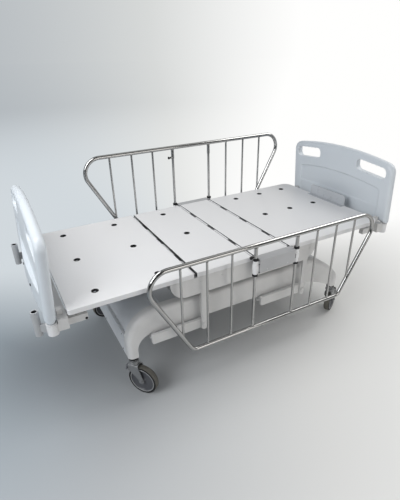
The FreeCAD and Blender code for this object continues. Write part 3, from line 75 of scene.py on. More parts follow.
# ---- shader helpers -------------------------------------------------------------------------
def math_node(tree, operation, a, b):
    """Two-input maths on sockets or numbers."""
    node = tree.nodes.new("ShaderNodeMath")
    node.operation = operation
    for socket, value in zip(node.inputs, (a, b)):
        if isinstance(value, (int, float)):
            socket.default_value = value
        else:
            tree.links.new(value, socket)
    return node.outputs[0]


class Shader:
    """A node material that is built up in a few calls."""

    def __init__(self, name, color, roughness, metallic=0.0, coat=0.0, specular=0.5):
        self.material = bpy.data.materials.new(name)
        self.material.use_nodes = True
        self.tree = self.material.node_tree
        self.bsdf = self.tree.nodes["Principled BSDF"]
        self.bsdf.inputs["Base Color"].default_value = (*color, 1)
        self.bsdf.inputs["Roughness"].default_value = roughness
        self.bsdf.inputs["Metallic"].default_value = metallic
        self.bsdf.inputs["Coat Weight"].default_value = coat
        self.bsdf.inputs["Specular IOR Level"].default_value = specular
        self.normal = None
        coords = self.node("ShaderNodeTexCoord")
        self.place = coords.outputs["Object"]

    def node(self, kind, **values):
        """Add a node; keyword values go to its sockets by name."""
        made = self.tree.nodes.new(kind)
        for key, value in values.items():
            made.inputs[key.replace("_", " ")].default_value = value
        return made

    def link(self, source, target):
        """Join two sockets."""
        self.tree.links.new(source, target)

    def noise(self, scale, detail=3.0, stretch=(1, 1, 1), roughness=0.55):
        """Noise over the object's own coordinates, stretched along the axes."""
        mapping = self.node("ShaderNodeMapping", Scale=stretch)
        self.link(self.place, mapping.inputs["Vector"])
        noise = self.node("ShaderNodeTexNoise", Scale=scale, Detail=detail, Roughness=roughness)
        self.link(mapping.outputs["Vector"], noise.inputs["Vector"])
        return noise.outputs["Fac"]

    def ramp(self, source, low, high, start=0.0, end=1.0):
        """Map a value range onto another with smooth ends."""
        ranger = self.node("ShaderNodeMapRange")
        ranger.interpolation_type = "SMOOTHSTEP"
        for key, value in (("From Min", start), ("From Max", end),
                           ("To Min", low), ("To Max", high)):
            ranger.inputs[key].default_value = value
        self.link(source, ranger.inputs["Value"])
        return ranger.outputs["Result"]

    def tint(self, factor, other):
        """Mix the present base colour with another by a factor."""
        mix = self.node("ShaderNodeMix")
        mix.data_type = "RGBA"
        self.link(factor, mix.inputs["Factor"])
        old = self.bsdf.inputs["Base Color"]
        if old.is_linked:
            self.link(old.links[0].from_socket, mix.inputs[6])
        else:
            mix.inputs[6].default_value = old.default_value
        mix.inputs[7].default_value = (*other, 1)
        self.link(mix.outputs[2], old)
        return self

    def rough(self, factor, low, high, start=0.3, end=0.7):
        """Vary the roughness by a factor."""
        self.link(self.ramp(factor, low, high, start, end), self.bsdf.inputs["Roughness"])
        return self

    def soften(self, radius):
        """Round the sharp edges in the shading."""
        bevel = self.node("ShaderNodeBevel", Radius=radius)
        bevel.samples = 6
        self.link(bevel.outputs["Normal"], self.bsdf.inputs["Normal"])
        self.normal = bevel.outputs["Normal"]
        return self

    def bump(self, height, strength, distance):
        """Add surface relief from a height value."""
        bump = self.node("ShaderNodeBump", Strength=strength, Distance=distance)
        self.link(height, bump.inputs["Height"])
        if self.normal is not None:
            self.link(self.normal, bump.inputs["Normal"])
        self.link(bump.outputs["Normal"], self.bsdf.inputs["Normal"])
        self.normal = bump.outputs["Normal"]
        return self

    def math(self, operation, a, b=0.0):
        """Two-input maths on sockets or numbers."""
        return math_node(self.tree, operation, a, b)

    def painted_hinge_shade(self):
        """Painted shade: one on the end hems that face each other across a hinge of the deck."""
        split = self.node("ShaderNodeSeparateXYZ")
        self.link(self.place, split.inputs["Vector"])
        away = [self.math("ABSOLUTE", self.math("SUBTRACT", split.outputs["X"], x)) for x in HINGE_X]
        nearest = self.math("MINIMUM", self.math("MINIMUM", away[0], away[1]), away[2])
        geometry = self.node("ShaderNodeNewGeometry")
        turn = self.node("ShaderNodeVectorTransform")
        turn.vector_type, turn.convert_from, turn.convert_to = "NORMAL", "WORLD", "OBJECT"
        self.link(geometry.outputs["Normal"], turn.inputs["Vector"])
        facing = self.node("ShaderNodeSeparateXYZ")
        self.link(turn.outputs["Vector"], facing.inputs["Vector"])
        upright = self.ramp(self.math("ABSOLUTE", facing.outputs["X"]), 0.0, 1.0, 0.6, 0.8)
        return self.math("MULTIPLY", upright, self.ramp(nearest, 1.0, 0.0, 12 * MM, 16 * MM))

    def edge_highlight(self, radius, amount):
        """One where the surface turns sharply, for a painted highlight on the edges."""
        bevel = self.node("ShaderNodeBevel", Radius=radius)
        geometry = self.node("ShaderNodeNewGeometry")
        dot = self.node("ShaderNodeVectorMath")
        dot.operation = "DOT_PRODUCT"
        self.link(bevel.outputs["Normal"], dot.inputs[0])
        self.link(geometry.outputs["Normal"], dot.inputs[1])
        return self.ramp(dot.outputs["Value"], amount, 0.0, 0.75, 1.0)


def powder_coat(name, color, roughness, orange_peel=0.12, coat=0.3, dirt=0.10):
    """Sprayed enamel on steel: faint orange peel and a slight, darker drift of tone."""
    s = Shader(name, color, roughness, coat=coat)
    shade = tuple(c * (1 - dirt) for c in color)
    s.tint(s.ramp(s.noise(6.0, 4.0), 0.0, 1.0, 0.35, 0.75), shade)
    s.rough(s.noise(22.0, 4.0), roughness - 0.05, roughness + 0.08)
    s.soften(1.2 * MM)
    s.bump(s.noise(900.0, 2.0), orange_peel, 0.15 * MM)
    return s.material


def deck_enamel():
    """Glossy white deck sheets: faintest drift of tone, a few wiping marks in the gloss, painted hinge
    shade.
    """
    s = Shader("deck_enamel", (0.81, 0.81, 0.815), 0.38, coat=0.3, specular=0.4)
    s.bsdf.inputs["Coat Roughness"].default_value = 0.13
    s.tint(s.ramp(s.noise(1.6, 1.5), 0.0, 0.6, 0.35, 0.7), (0.77, 0.775, 0.785))
    # painted shade: the hems facing across a hinge gap turn almost black
    s.tint(s.painted_hinge_shade(), (0.045, 0.045, 0.048))
    s.rough(s.noise(2.5, 1.5, (0.5, 1, 1)), 0.32, 0.42)
    s.soften(1.5 * MM)
    s.bump(s.noise(3.0, 1.0), 0.15, 0.6 * MM)
    return s.material


def board_plastic():
    """Blow-moulded board: fine leather grain, a slightly waxy gloss and rims paler by painted highlight.
    """
    s = Shader("board_plastic", (0.66, 0.705, 0.745), 0.36, coat=0.12)
    s.bsdf.inputs["Subsurface Weight"].default_value = 0.05
    s.bsdf.inputs["Subsurface Radius"].default_value = (0.01, 0.01, 0.01)
    s.tint(s.ramp(s.noise(4.0, 3.0), 0.0, 0.5, 0.4, 0.7), (0.63, 0.68, 0.725))
    # painted highlight: the rounded rims are lightened
    s.tint(s.edge_highlight(10 * MM, 0.9), (0.83, 0.845, 0.86))
    s.rough(s.noise(30.0, 4.0), 0.30, 0.44)
    s.bump(s.noise(1100.0, 3.0), 0.10, 0.2 * MM)
    return s.material


def cover_plastic():
    """Vacuum-formed end covers with a satin skin."""
    s = Shader("cover_plastic", (0.64, 0.655, 0.675), 0.38)
    s.tint(s.ramp(s.noise(5.0, 3.0), 0.0, 0.6, 0.35, 0.7), (0.60, 0.615, 0.635))
    s.rough(s.noise(26.0, 4.0), 0.32, 0.48)
    s.soften(2.0 * MM)
    s.bump(s.noise(900.0, 2.0), 0.08, 0.2 * MM)
    return s.material


def polished_steel():
    """Polished stainless tube: fine polishing marks, water marks and finger haze."""
    s = Shader("polished_steel", (0.46, 0.46, 0.455), 0.10, metallic=1.0)
    s.tint(s.ramp(s.noise(9.0, 4.0), 0.0, 0.6, 0.4, 0.75), (0.38, 0.38, 0.375))
    s.rough(s.noise(60.0, 5.0), 0.06, 0.15)
    s.soften(0.6 * MM)
    return s.material


def zinc_steel():
    """Bright zinc-plated fittings with a slight spangle."""
    s = Shader("zinc_steel", (0.56, 0.565, 0.57), 0.26, metallic=1.0)
    s.tint(s.ramp(s.noise(120.0, 3.0), 0.0, 0.5, 0.4, 0.7), (0.45, 0.46, 0.47))
    s.rough(s.noise(80.0, 4.0), 0.20, 0.40)
    s.soften(0.8 * MM)
    s.bump(s.noise(500.0, 3.0), 0.06, 0.1 * MM)
    return s.material


def rubber(name="rubber", color=(0.02, 0.02, 0.021), roughness=0.68):
    """Black or grey rubber with a dusty bloom."""
    s = Shader(name, color, roughness, specular=0.2)
    bloom = tuple(min(1.0, c * 1.5 + 0.008) for c in color)
    s.tint(s.ramp(s.noise(45.0, 5.0), 0.0, 0.7, 0.45, 0.75), bloom)
    s.rough(s.noise(90.0, 4.0), roughness - 0.08, roughness + 0.14)
    s.soften(0.8 * MM)
    s.bump(s.noise(1500.0, 3.0), 0.2, 0.15 * MM)
    return s.material


def moulded(name, color, roughness=0.42, specular=0.5):
    """Injection-moulded plastic with a fine spark-eroded grain."""
    s = Shader(name, color, roughness, specular=specular)
    s.tint(s.ramp(s.noise(18.0, 4.0), 0.0, 0.6, 0.4, 0.75), tuple(c * 0.86 for c in color))
    s.rough(s.noise(70.0, 4.0), roughness - 0.06, roughness + 0.1)
    s.soften(1.0 * MM)
    s.bump(s.noise(1800.0, 2.0), 0.15, 0.1 * MM)
    return s.material


def make_materials():
    """Every material once, by the name of the record's slot."""
    return {
        "deck_white": deck_enamel(),
        "board_plastic": board_plastic(),
        "frame_grey": powder_coat("frame_coat", (0.69, 0.685, 0.675), 0.36),
        "cover_plastic": cover_plastic(),
        "rail_steel": polished_steel(),
        "bright_steel": zinc_steel(),
        "black_rubber": rubber(),
        "black_plastic": moulded("black_plastic", (0.022, 0.022, 0.024), 0.55, 0.22),
        "actuator_plastic": moulded("actuator_plastic", (0.24, 0.245, 0.26)),
        "caster_metal": powder_coat("caster_coat", (0.19, 0.195, 0.20), 0.32),
        "wheel_plastic": moulded("wheel_plastic", (0.085, 0.088, 0.098), 0.36),
        "wheel_tread": rubber("tread_rubber", (0.125, 0.12, 0.105), 0.58),
        "pedal_plastic": moulded("pedal_plastic", (0.16, 0.165, 0.18)),
    }


MATERIALS = make_materials()
SOCKET_COAT = powder_coat("socket_coat", (0.44, 0.45, 0.46), 0.36)
STOP_COAT = powder_coat("stop_coat", (0.50, 0.525, 0.555), 0.30, 0.06)
BOX_COAT = powder_coat("box_coat", (0.47, 0.475, 0.485), 0.34)
DULL_ZINC = powder_coat("dull_zinc", (0.20, 0.205, 0.215), 0.28)
LEG_RING_RUBBER = rubber("leg_ring_rubber", (0.008, 0.008, 0.009), 0.6)
# painted shade: steel hinge rods coloured almost black to darken the hinge gaps
HINGE_GAP_SHADE_COAT = powder_coat("hinge_gap_shade_coat", (0.07, 0.07, 0.075), 0.45)
RIM_PLASTIC = moulded("rim_plastic", (0.36, 0.365, 0.37), 0.34)


def dress_nodes():
    """Give every CAD node the material of its slot."""
    for row in frame["record"]["subparts"]:
        mesh = NODES[row["node"]].data
        mesh.materials.clear()
        mesh.materials.append(MATERIALS[row["material_slot"]])
    # the hinge rods get the near-black coat of painted shade
    for node in ("knee_hinge_rod", "thigh_hinge_rod", "back_hinge_rod"):
        NODES[node].data.materials[0] = HINGE_GAP_SHADE_COAT
    NODES["pole_sockets"].data.materials[0] = SOCKET_COAT
    NODES["mattress_stop"].data.materials[0] = STOP_COAT
    NODES["seat_side_boxes"].data.materials[0] = BOX_COAT
    NODES["lift_pivot_bolts"].data.materials[0] = MATERIALS["frame_grey"]


# ---- mesh helpers ---------------------------------------------------------------------------
def finish_mesh(name, mesh_builder, body, slot_name, smooth=40.0, material=None):
    """Turn a bmesh into a named piece that rides on a body."""
    mesh = bpy.data.meshes.new(name)
    mesh_builder.to_mesh(mesh)
    mesh_builder.free()
    piece = bpy.data.objects.new(name, mesh)
    bpy.context.scene.collection.objects.link(piece)
    mesh.materials.append(material or MATERIALS[slot_name])
    mesh.shade_smooth()
    mesh.set_sharp_from_angle(angle=math.radians(smooth))
    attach(piece, body)
    return piece


def turned(builder, profile, at, axis, segments=32):
    """Lathe a closed or open (radius, height) profile about an axis through a point."""
    turn = Vector((0, 0, 1)).rotation_difference(Vector(axis).normalized()).to_matrix().to_4x4()
    place = Matrix.Translation(Vector(at)) @ turn
    rings = []
    for r, h in profile:
        if r < 1e-7:
            rings.append([builder.verts.new(place @ Vector((0, 0, h)))])
            continue
        rings.append([builder.verts.new(place @ Vector((r * math.cos(2 * math.pi * i / segments),
                                                        r * math.sin(2 * math.pi * i / segments), h)))
                      for i in range(segments)])
    for low, high in zip(rings, rings[1:]):
        for i in range(segments):
            j = (i + 1) % segments
            corners = []
            for vert in (low[i % len(low)], low[j % len(low)],
                         high[j % len(high)], high[i % len(high)]):
                if vert not in corners:
                    corners.append(vert)
            if len(corners) > 2:
                builder.faces.new(corners)


def screw_head(builder, at, axis, r=5 * MM):
    """Domed socket screw: a dished ring with a hexagonal recess."""
    dome = [(r, 0), (r, 0.25 * r), (0.92 * r, 0.45 * r), (0.55 * r, 0.62 * r), (0.5 * r, 0.62 * r)]
    turned(builder, dome, at, axis, 24)
    turned(builder, [(0.5 * r, 0.62 * r), (0.46 * r, 0.25 * r), (0, 0.22 * r)], at, axis, 6)


def ring_bead(builder, at, axis, r, bead, segments=32, steps=8):
    """Torus-shaped weld or moulded bead round an axis."""
    profile = [(r + bead * math.cos(2 * math.pi * i / steps), bead * math.sin(2 * math.pi * i / steps))
               for i in range(steps + 1)]
    turned(builder, profile, at, axis, segments)


# ---- moulded boards -------------------------------------------------------------------------
def outer_shell(builder):
    """Keep the connected shell that reaches furthest, so a closed core isn't remeshed too."""
    bmesh.ops.remove_doubles(builder, verts=builder.verts, dist=0.01 * MM)
    left, shells = set(builder.verts), []
    while left:
        first = left.pop()
        shell, edge = {first}, [first]
        while edge:
            for link in edge.pop().link_edges:
                for vert in link.verts:
                    if vert in left:
                        left.discard(vert)
                        shell.add(vert)
                        edge.append(vert)
        shells.append(shell)
    best = max(shells, key=lambda shell: max(v.co.z for v in shell) - min(v.co.z for v in shell))
    bmesh.ops.delete(builder, geom=[v for v in builder.verts if v not in best], context="VERTS")


def blown_board(end):
    """The board with every moulded edge rounded, made from its CAD shape in a fine even mesh."""
    node = end + "_board"
    middle = Vector((ENDS[end] * POST_X + SHIFT, 0, DECK_TOP))
    upright = (Matrix.Translation(middle) @ Matrix.Rotation(ENDS[end] * BOARD_LEAN, 4, "Y")
               @ Matrix.Translation(-middle))
    builder = bmesh.new()
    builder.from_mesh(NODES[node].data)
    outer_shell(builder)
    builder.transform(upright)
    mesh = bpy.data.meshes.new(node + "_cast")
    builder.to_mesh(mesh)
    builder.free()
    cast = bpy.data.objects.new(node + "_cast", mesh)
    bpy.context.scene.collection.objects.link(cast)
    remesh = cast.modifiers.new("even", "REMESH")
    remesh.mode, remesh.voxel_size = "VOXEL", BOARD_VOXEL
    smooth = cast.modifiers.new("rounding", "SMOOTH")
    smooth.factor, smooth.iterations = 0.5, BOARD_ROUNDING
    shown = cast.evaluated_get(bpy.context.evaluated_depsgraph_get())
    builder = bmesh.new()
    builder.from_mesh(shown.data)
    builder.transform(upright.inverted())
    bpy.data.objects.remove(cast)
    piece = finish_mesh(node + "_moulding", builder, node, "board_plastic", 180.0)
    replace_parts(piece, node)


# ---- casters --------------------------------------------------------------------------------
def mirrored(profile):
    """Close a (radius, height) profile with its own mirror image."""
    return profile + [(r, -h) for r, h in reversed(profile)] + profile[:1]


def in_mm(profile):
    """Profile points from millimetres."""
    return [(a * MM, b * MM) for a, b in profile]


# (radius, height) profiles in millimetres: heights from the wheel's middle, or above the floor
WHEEL_FACE = in_mm(((5.1, 15.6), (9, 16), (13, 15.8), (14.6, 14.6), (15.6, 11), (17.5, 8.6),
                    (24, 7.6), (50, 7.2), (54.5, 7.8), (57.1, 9.8), (58.5, 12.4), (59.9, 13.8),
                    (63.1, 14), (64, 13.2)))
TYRE_FACE = in_mm(((64.2, 13.4), (65.9, 14.4), (69.1, 14.9), (71.9, 14.0), (73.7, 12.2),
                   (74.6, 9.6), (74.9, 6.4), (74.95, 5.4), (74.2, 4.9), (74.2, 4.1),
                   (74.95, 3.6), (75, 0.6)))
RIM_RING = in_mm(((59.8, 13.6), (60.4, 14.8), (61.8, 15.2), (63.4, 14.8), (63.9, 13.6)))
SIDEWALL = in_mm(((64.2, 13.7), (65.4, 15.1), (68.9, 15.5), (71.6, 15.0), (73.2, 13.4),
                  (72.0, 13.2)))
AXLE_NUT = in_mm(((0, 7.6), (4.4, 7.6), (5.0, 7.0), (5.0, 5.6), (5.1, 5.6)))
SWIVEL_CAP = in_mm(((0, 178), (15.5, 178), (19.5, 177.4), (23.4, 175), (25, 171), (25, 167.6),
                    (23.8, 166.8), (23.8, 165.4), (24.8, 164.6), (23, 163.4), (0, 163.4)))
LEG_RING = in_mm(((15.2, 186.6), (20.6, 187), (22.2, 189), (22.8, 197.6), (21.6, 199.8),
                  (15.2, 199.9)))
FORK_NECK_Z, FORK_REAR, FORK_FRONT = 136 * MM, -22 * MM, 29 * MM    # where a cheek is widest
RACE_Z, RACE_R = 166.1 * MM, 23.4 * MM      # seam of the swivel race
CHEEK_FACE = 22 * MM                        # outer face of a cheek from the wheel's middle


def fork_sheet(builder):
    """Pressed fork in the caster's own place: an inverted U of sheet, tapered down to the axle."""
    half, top, shoulder, thick = 20 * MM, 160 * MM, 11 * MM, 4 * MM
    low = WHEEL_R - FORK_TIP_R
    cheek_steps, bend_steps, columns = 26, 8, 9
    path = [(-half, low + (top - shoulder - low) * (i / cheek_steps) ** 1.3, -1.0, 0.0)
            for i in range(cheek_steps + 1)]
    for i in range(1, bend_steps):
        a = math.pi / 2 * i / bend_steps
        path.append((-half + shoulder - shoulder * math.cos(a),
                     top - shoulder + shoulder * math.sin(a), -math.cos(a), math.sin(a)))
    path += [(y, top, 0.0, 1.0) for y in (-half + shoulder, -half / 6, half / 6, half - shoulder)]
    path += [(-y, z, -ny, nz) for y, z, ny, nz in reversed(path[:cheek_steps + bend_steps])]

    def reach(z):
        """Lowest and highest X of a cheek at a height."""
        if z < WHEEL_R:
            across = math.sqrt(max(FORK_TIP_R ** 2 - (WHEEL_R - z) ** 2, 0.2 * MM ** 2))
            return TRAIL - across, TRAIL + across
        t = min((z - WHEEL_R) / (FORK_NECK_Z - WHEEL_R), 1.0)
        u = min((z - WHEEL_R) / (top - WHEEL_R), 1.0)
        return (TRAIL - FORK_TIP_R + (FORK_REAR - TRAIL + FORK_TIP_R) * t * t * (3 - 2 * t),
                TRAIL + FORK_TIP_R + (FORK_FRONT - TRAIL - FORK_TIP_R) * u)

    skins = []
    for off in (thick / 2, -thick / 2):
        rows = []
        for y, z, ny, nz in path:
            x0, x1 = reach(z)
            rows.append([builder.verts.new((x0 + (x1 - x0) * c / (columns - 1),
                                            y + ny * off, z + nz * off))
                         for c in range(columns)])
        skins.append(rows)
    outer, inner = skins
    for i in range(len(path) - 1):
        for c in range(columns - 1):
            builder.faces.new((outer[i][c], outer[i][c + 1], outer[i + 1][c + 1], outer[i + 1][c]))
            builder.faces.new((inner[i][c + 1], inner[i][c], inner[i + 1][c], inner[i + 1][c + 1]))
        for c in (0, columns - 1):
            builder.faces.new((outer[i][c], outer[i + 1][c], inner[i + 1][c], inner[i][c]))
    for i in (0, len(path) - 1):
        for c in range(columns - 1):
            builder.faces.new((outer[i][c], outer[i][c + 1], inner[i][c + 1], inner[i][c]))
    bmesh.ops.recalc_face_normals(builder, faces=builder.faces)


def caster(name):
    """Dished wheel, tyre, pressed fork, axle nuts and the rings of one caster."""
    side, end = name.split("_")
    place = (Matrix.Translation(Vector((ENDS[end] * CASTER_X + SHIFT, SIDES[side] * CASTER_Y, 0)))
             @ Matrix.Rotation(math.radians(CASTER_HEADING[name]), 4, "Z"))
    axle, across = place @ Vector((TRAIL, 0, WHEEL_R)), place.to_3x3() @ Vector((0, 1, 0))
    stem = place @ Vector((0, 0, 0))
    wheel_body, swivel_body = name + "_wheel", name + "_swivel"

    builder = bmesh.new()
    turned(builder, mirrored(WHEEL_FACE), axle, across, 72)
    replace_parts(finish_mesh(name + "_wheel_disc", builder, wheel_body, "wheel_plastic", 50),
                name + "_caster_wheel")
    builder = bmesh.new()
    turned(builder, mirrored(TYRE_FACE), axle, across, 96)
    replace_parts(finish_mesh(name + "_tyre_tread", builder, wheel_body, "wheel_tread", 60),
                name + "_caster_tyre")
    builder = bmesh.new()
    for way in (-1, 1):
        turned(builder, RIM_RING, axle, across * way, 72)
    finish_mesh(name + "_rim_rings", builder, wheel_body, "wheel_plastic", 60, RIM_PLASTIC)
    builder = bmesh.new()
    for way in (-1, 1):
        turned(builder, SIDEWALL, axle, across * way, 96)
    finish_mesh(name + "_tyre_sidewalls", builder, wheel_body, "black_rubber", 60)

    builder = bmesh.new()
    fork_sheet(builder)
    turned(builder, SWIVEL_CAP, (0, 0, 0), (0, 0, 1), 48)
    builder.transform(place)
    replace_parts(finish_mesh(name + "_fork_pressing", builder, swivel_body, "caster_metal", 45),
                name + "_caster_fork")
    builder = bmesh.new()
    for way in (-1, 1):
        cheek = axle + across * way * CHEEK_FACE
        turned(builder, in_mm(((5, 0), (9, 0), (9, 1.2), (5, 1.4))), cheek, across * way, 32)
        turned(builder, in_mm(((8, 1.2), (8, 5), (6.6, 5.8), (4.8, 5.8))), cheek, across * way, 6)
        turned(builder, AXLE_NUT, cheek, across * way, 24)
        turned(builder, [(AXLE_R, -9 * MM), (AXLE_R, 1 * MM)], cheek, across * way, 24)
    finish_mesh(name + "_axle_nuts", builder, swivel_body, "bright_steel", 35, DULL_ZINC)
    builder = bmesh.new()
    ring_bead(builder, stem + Vector((0, 0, RACE_Z)), (0, 0, 1), RACE_R, 1.1 * MM, 48)
    finish_mesh(name + "_race_ring", builder, swivel_body, "bright_steel", 80)
    builder = bmesh.new()
    turned(builder, LEG_RING, stem, (0, 0, 1), 40)
    finish_mesh(name + "_leg_ring", builder, "base", "black_rubber", 50, LEG_RING_RUBBER)


# ---- fittings -------------------------------------------------------------------------------
GUIDE_ROD_R, BAR_R, GUIDE_COLLAR_R, WELD_R = 7 * MM, 5.5 * MM, 9 * MM, 1.5 * MM


def weld_beads(side):
    """Weld beads where the bars of a rail meet its tube, at the rail's stand."""
    lift = RAIL_LIFT if side == "far" else 0.0
    y = SIDES[side] * RAIL_Y
    slope = Vector((RAIL_SPREAD[0] - RAIL_SPREAD[1], 0, RAIL_TUBE_Z[0] - RAIL_TUBE_Z[1])).normalized()
    builder = bmesh.new()
    for way in (-1, 1):
        for n in range(4):
            from_middle = GUIDE_X + n * BAR_PITCH
            r = GUIDE_ROD_R if n == 0 else BAR_R
            x = RAIL_X + way * from_middle
            top = RAIL_TUBE_Z[1] + lift - RAIL_TUBE_R
            top_r = GUIDE_COLLAR_R if n == 0 else r
            ring_bead(builder, (x, y, top - 0.5 * MM), (0, 0, 1), top_r, WELD_R, 24)
            share = (from_middle - RAIL_SPREAD[0]) / (RAIL_SPREAD[1] - RAIL_SPREAD[0])
            if share <= 0:
                foot, tilt = RAIL_TUBE_Z[0] + RAIL_TUBE_R + 0.5 * MM, (0, 0, 1)
            else:
                foot = (RAIL_TUBE_Z[0] + share * (RAIL_TUBE_Z[1] - RAIL_TUBE_Z[0])
                        + RAIL_TUBE_R / abs(slope.x))
                tilt = (-way * abs(slope.z) * 0.6, 0, 1)
            ring_bead(builder, (x, y, foot + lift), tilt, r, WELD_R, 24)
    finish_mesh(side + "_rail_welds", builder, side + "_rail", "rail_steel", 80)


def bent_rod(builder, points, r, steps=10):
    """Round bar along a line of points, with closed ends."""
    rings = []
    for i, point in enumerate(points):
        way = (points[min(i + 1, len(points) - 1)] - points[max(i - 1, 0)]).normalized()
        side = way.cross(Vector((0, 1, 0))).normalized()
        up = side.cross(way)
        rings.append([builder.verts.new(point + (side * math.cos(2 * math.pi * k / steps)
                                                 + up * math.sin(2 * math.pi * k / steps)) * r)
                      for k in range(steps)])
    for low, high in zip(rings, rings[1:]):
        for k in range(steps):
            builder.faces.new((low[k], low[(k + 1) % steps], high[(k + 1) % steps], high[k]))
    builder.faces.new(rings[0][::-1])
    builder.faces.new(rings[-1])


def sleeve_catches():
    """Black bail beside the foot-side sleeve of each rail."""
    builder = bmesh.new()
    for side in SIDES.values():
        x, y = RAIL_X - GUIDE_X + 13 * MM, side * (RAIL_Y + 11.5 * MM)
        low, high, out, bend = 524 * MM, 566 * MM, 9 * MM, 5 * MM
        points = [Vector((x, y, high)), Vector((x + out - bend, y, high))]
        points += [Vector((x + out - bend + bend * math.sin(math.pi / 2 * i / 5), y,
                           high - bend + bend * math.cos(math.pi / 2 * i / 5))) for i in range(1, 6)]
        points += [Vector((x + out - bend + bend * math.cos(math.pi / 2 * i / 5), y,
                           low + bend - bend * math.sin(math.pi / 2 * i / 5))) for i in range(6)]
        points.append(Vector((x, y, low)))
        bent_rod(builder, points, 2.6 * MM)
    finish_mesh("sleeve_catches", builder, "upper_frame", "black_plastic", 60)


def screws(name, body, places, r, slot_name="bright_steel"):
    """A group of socket screws: places are (point, axis)."""
    builder = bmesh.new()
    for at, axis in places:
        screw_head(builder, at, axis, r)
    finish_mesh(name, builder, body, slot_name, 35)


def fittings():
    """Screws and bolts of the frame, base and boards, and the liners of the pole sockets."""
    both = (-1, 1)
    plate = [((x * MM + SHIFT, s * 396 * MM, 541 * MM), (0, s, 0)) for x in (-395, -290, -180, 300, 345)
             for s in both]
    screws("side_plate_screws", "upper_frame", plate, 3.5 * MM, "frame_grey")
    box = [((x * MM + SHIFT, s * 444.6 * MM, 531 * MM), (0, s, 0)) for x in (40, 164) for s in both]
    screws("side_box_screws", "upper_frame", box, 3 * MM, "deck_white")
    band = [((RAIL_X + w * GUIDE_X - w * 18 * MM, s * (RAIL_Y + 8 * MM), z * MM), (0, s, 0))
            for w in both for s in both for z in (530, 573)]
    screws("sleeve_web_screws", "upper_frame", band, 3 * MM)
    arm = [((e * x * MM + SHIFT, s * 340 * MM, 525 * MM), (0, 0, 1)) for e in both for s in both
           for x in (800, 835)]
    screws("corner_arm_screws", "upper_frame", arm, 4 * MM)
    cover = [((-645.0 * MM + SHIFT, y * MM, z * MM), (-1, 0, 0)) for y in (-270, 0, 270)
             for z in (216, 302)]
    screws("foot_cover_screws", "base", cover, 4 * MM)
    board = [((-950.2 * MM, y * MM, 588 * MM), (-1, 0, -0.07)) for y in (-120, 97)]
    screws("foot_board_screws", "foot_board", board, 6 * MM, "black_plastic")
    end = [((-783.0 * MM, s * 353 * MM, 501.5 * MM), (0, s, 0)) for s in both]
    screws("corner_arm_bolts", "upper_frame", end, 5.5 * MM, "black_plastic")
    builder = bmesh.new()
    for s in both:
        at = (-POLE_X + SHIFT, s * POLE_Y, DECK_TOP)
        liner = in_mm(((10.2, -30), (10.2, -2.2), (9.4, -1), (8.6, -2.2), (8.6, -30)))
        turned(builder, liner, at, (0, 0, 1), 32)
    finish_mesh("pole_socket_liners", builder, "upper_frame", "black_plastic", 40)


# ---- studio ---------------------------------------------------------------------------------
GLOSS_LOSS, DARK_BEHIND = 0.42, 0.5        # backdrop's loss in gloss, and more behind the camera
BACKDROP = ((0.0, (0.44, 0.475, 0.505)), (0.45, (0.68, 0.695, 0.69)), (0.85, (1.0, 1.0, 0.99)))
NEAR_BACKDROP = ((0.0, (0.64, 0.69, 0.725)), (0.45, (0.80, 0.81, 0.80)), (0.85, (1.0, 1.0, 0.99)))
# floor colours from left to right; the dark left end is painted shade
FLOOR = ((0.0, (0.26, 0.315, 0.36)), (0.35, (0.46, 0.48, 0.495)), (0.75, (0.77, 0.77, 0.755)),
         (1.0, (0.94, 0.94, 0.92)))
SHADE_AT, SHADE_REACH, SHADE_DEPTH = (-0.8, -0.35), (0.1, 0.7), 0.36    # painted shadow of the bed beside the foot end
SHADE_STRETCH = 1.25
FLOOR_ACROSS = (-1.7, 1.5)                 # left and right ends of the floor's colours
BACKDROP_ACROSS = (-0.62, 0.5)             # the same for the backdrop, as a share of the distance
FADE_FAR, FADE_BACK = (0.9, 2.6), (0.4, 1.6)           # where the floor turns into backdrop
FADE_LEFT, FADE_LEFT_BACK = (0.6, 1.1), (-0.4, 0.7)
BACKDROP_BLEND = (2.5, 12.0)               # from the near backdrop's colours to the far ones
FLOOR_BEHIND, AIR_BEHIND = (1.6, 3.6), (0.0, 0.4)
AIR_COLOR, AIR_STRENGTH = (0.87, 0.89, 0.93), 0.31
MIDDLE = (0, 0, 0.45)
LAMPS = (
    ("key_box", (2.67, -0.3, 3.1), MIDDLE, 2.0, 50.0, (1.0, 0.99, 0.965)),
    ("top_box", (-1.25, 0.1, 1.95), (-0.8, 0, 0.5), 1.0, 13.0, (1, 1, 1)),
    ("left_fill", (-3.3, -1.1, 2.4), (-0.9, 0, 0.7), 2.0, 62.0, (0.96, 0.98, 1.0)),
    ("front_fill", (0.9, -3.6, 1.3), MIDDLE, 1.8, 22.0, (1.0, 0.97, 0.93)),
)


def color_steps(tree, factor, steps):
    """Colour ramp with the given stops."""
    ramp = tree.nodes.new("ShaderNodeValToRGB")
    stops = ramp.color_ramp.elements
    while len(stops) < len(steps):
        stops.new(0.5)
    for stop, (at, color) in zip(stops, steps):
        stop.position, stop.color = at, (*color, 1)
    tree.links.new(factor, ramp.inputs["Fac"])
    return ramp.outputs["Color"]


def map_range(tree, source, start, end):
    """Zero at start, one at end."""
    node = tree.nodes.new("ShaderNodeMapRange")
    node.interpolation_type = "SMOOTHSTEP"
    node.inputs["From Min"].default_value, node.inputs["From Max"].default_value = start, end
    tree.links.new(source, node.inputs["Value"])
    return node.outputs["Result"]


def seen_ray(tree):
    """One for rays from the camera, from gloss and through glass."""
    path = tree.nodes.new("ShaderNodeLightPath")
    some = math_node(tree, "MAXIMUM", path.outputs["Is Camera Ray"], path.outputs["Is Glossy Ray"])
    return math_node(tree, "MAXIMUM", some, path.outputs["Is Transmission Ray"])


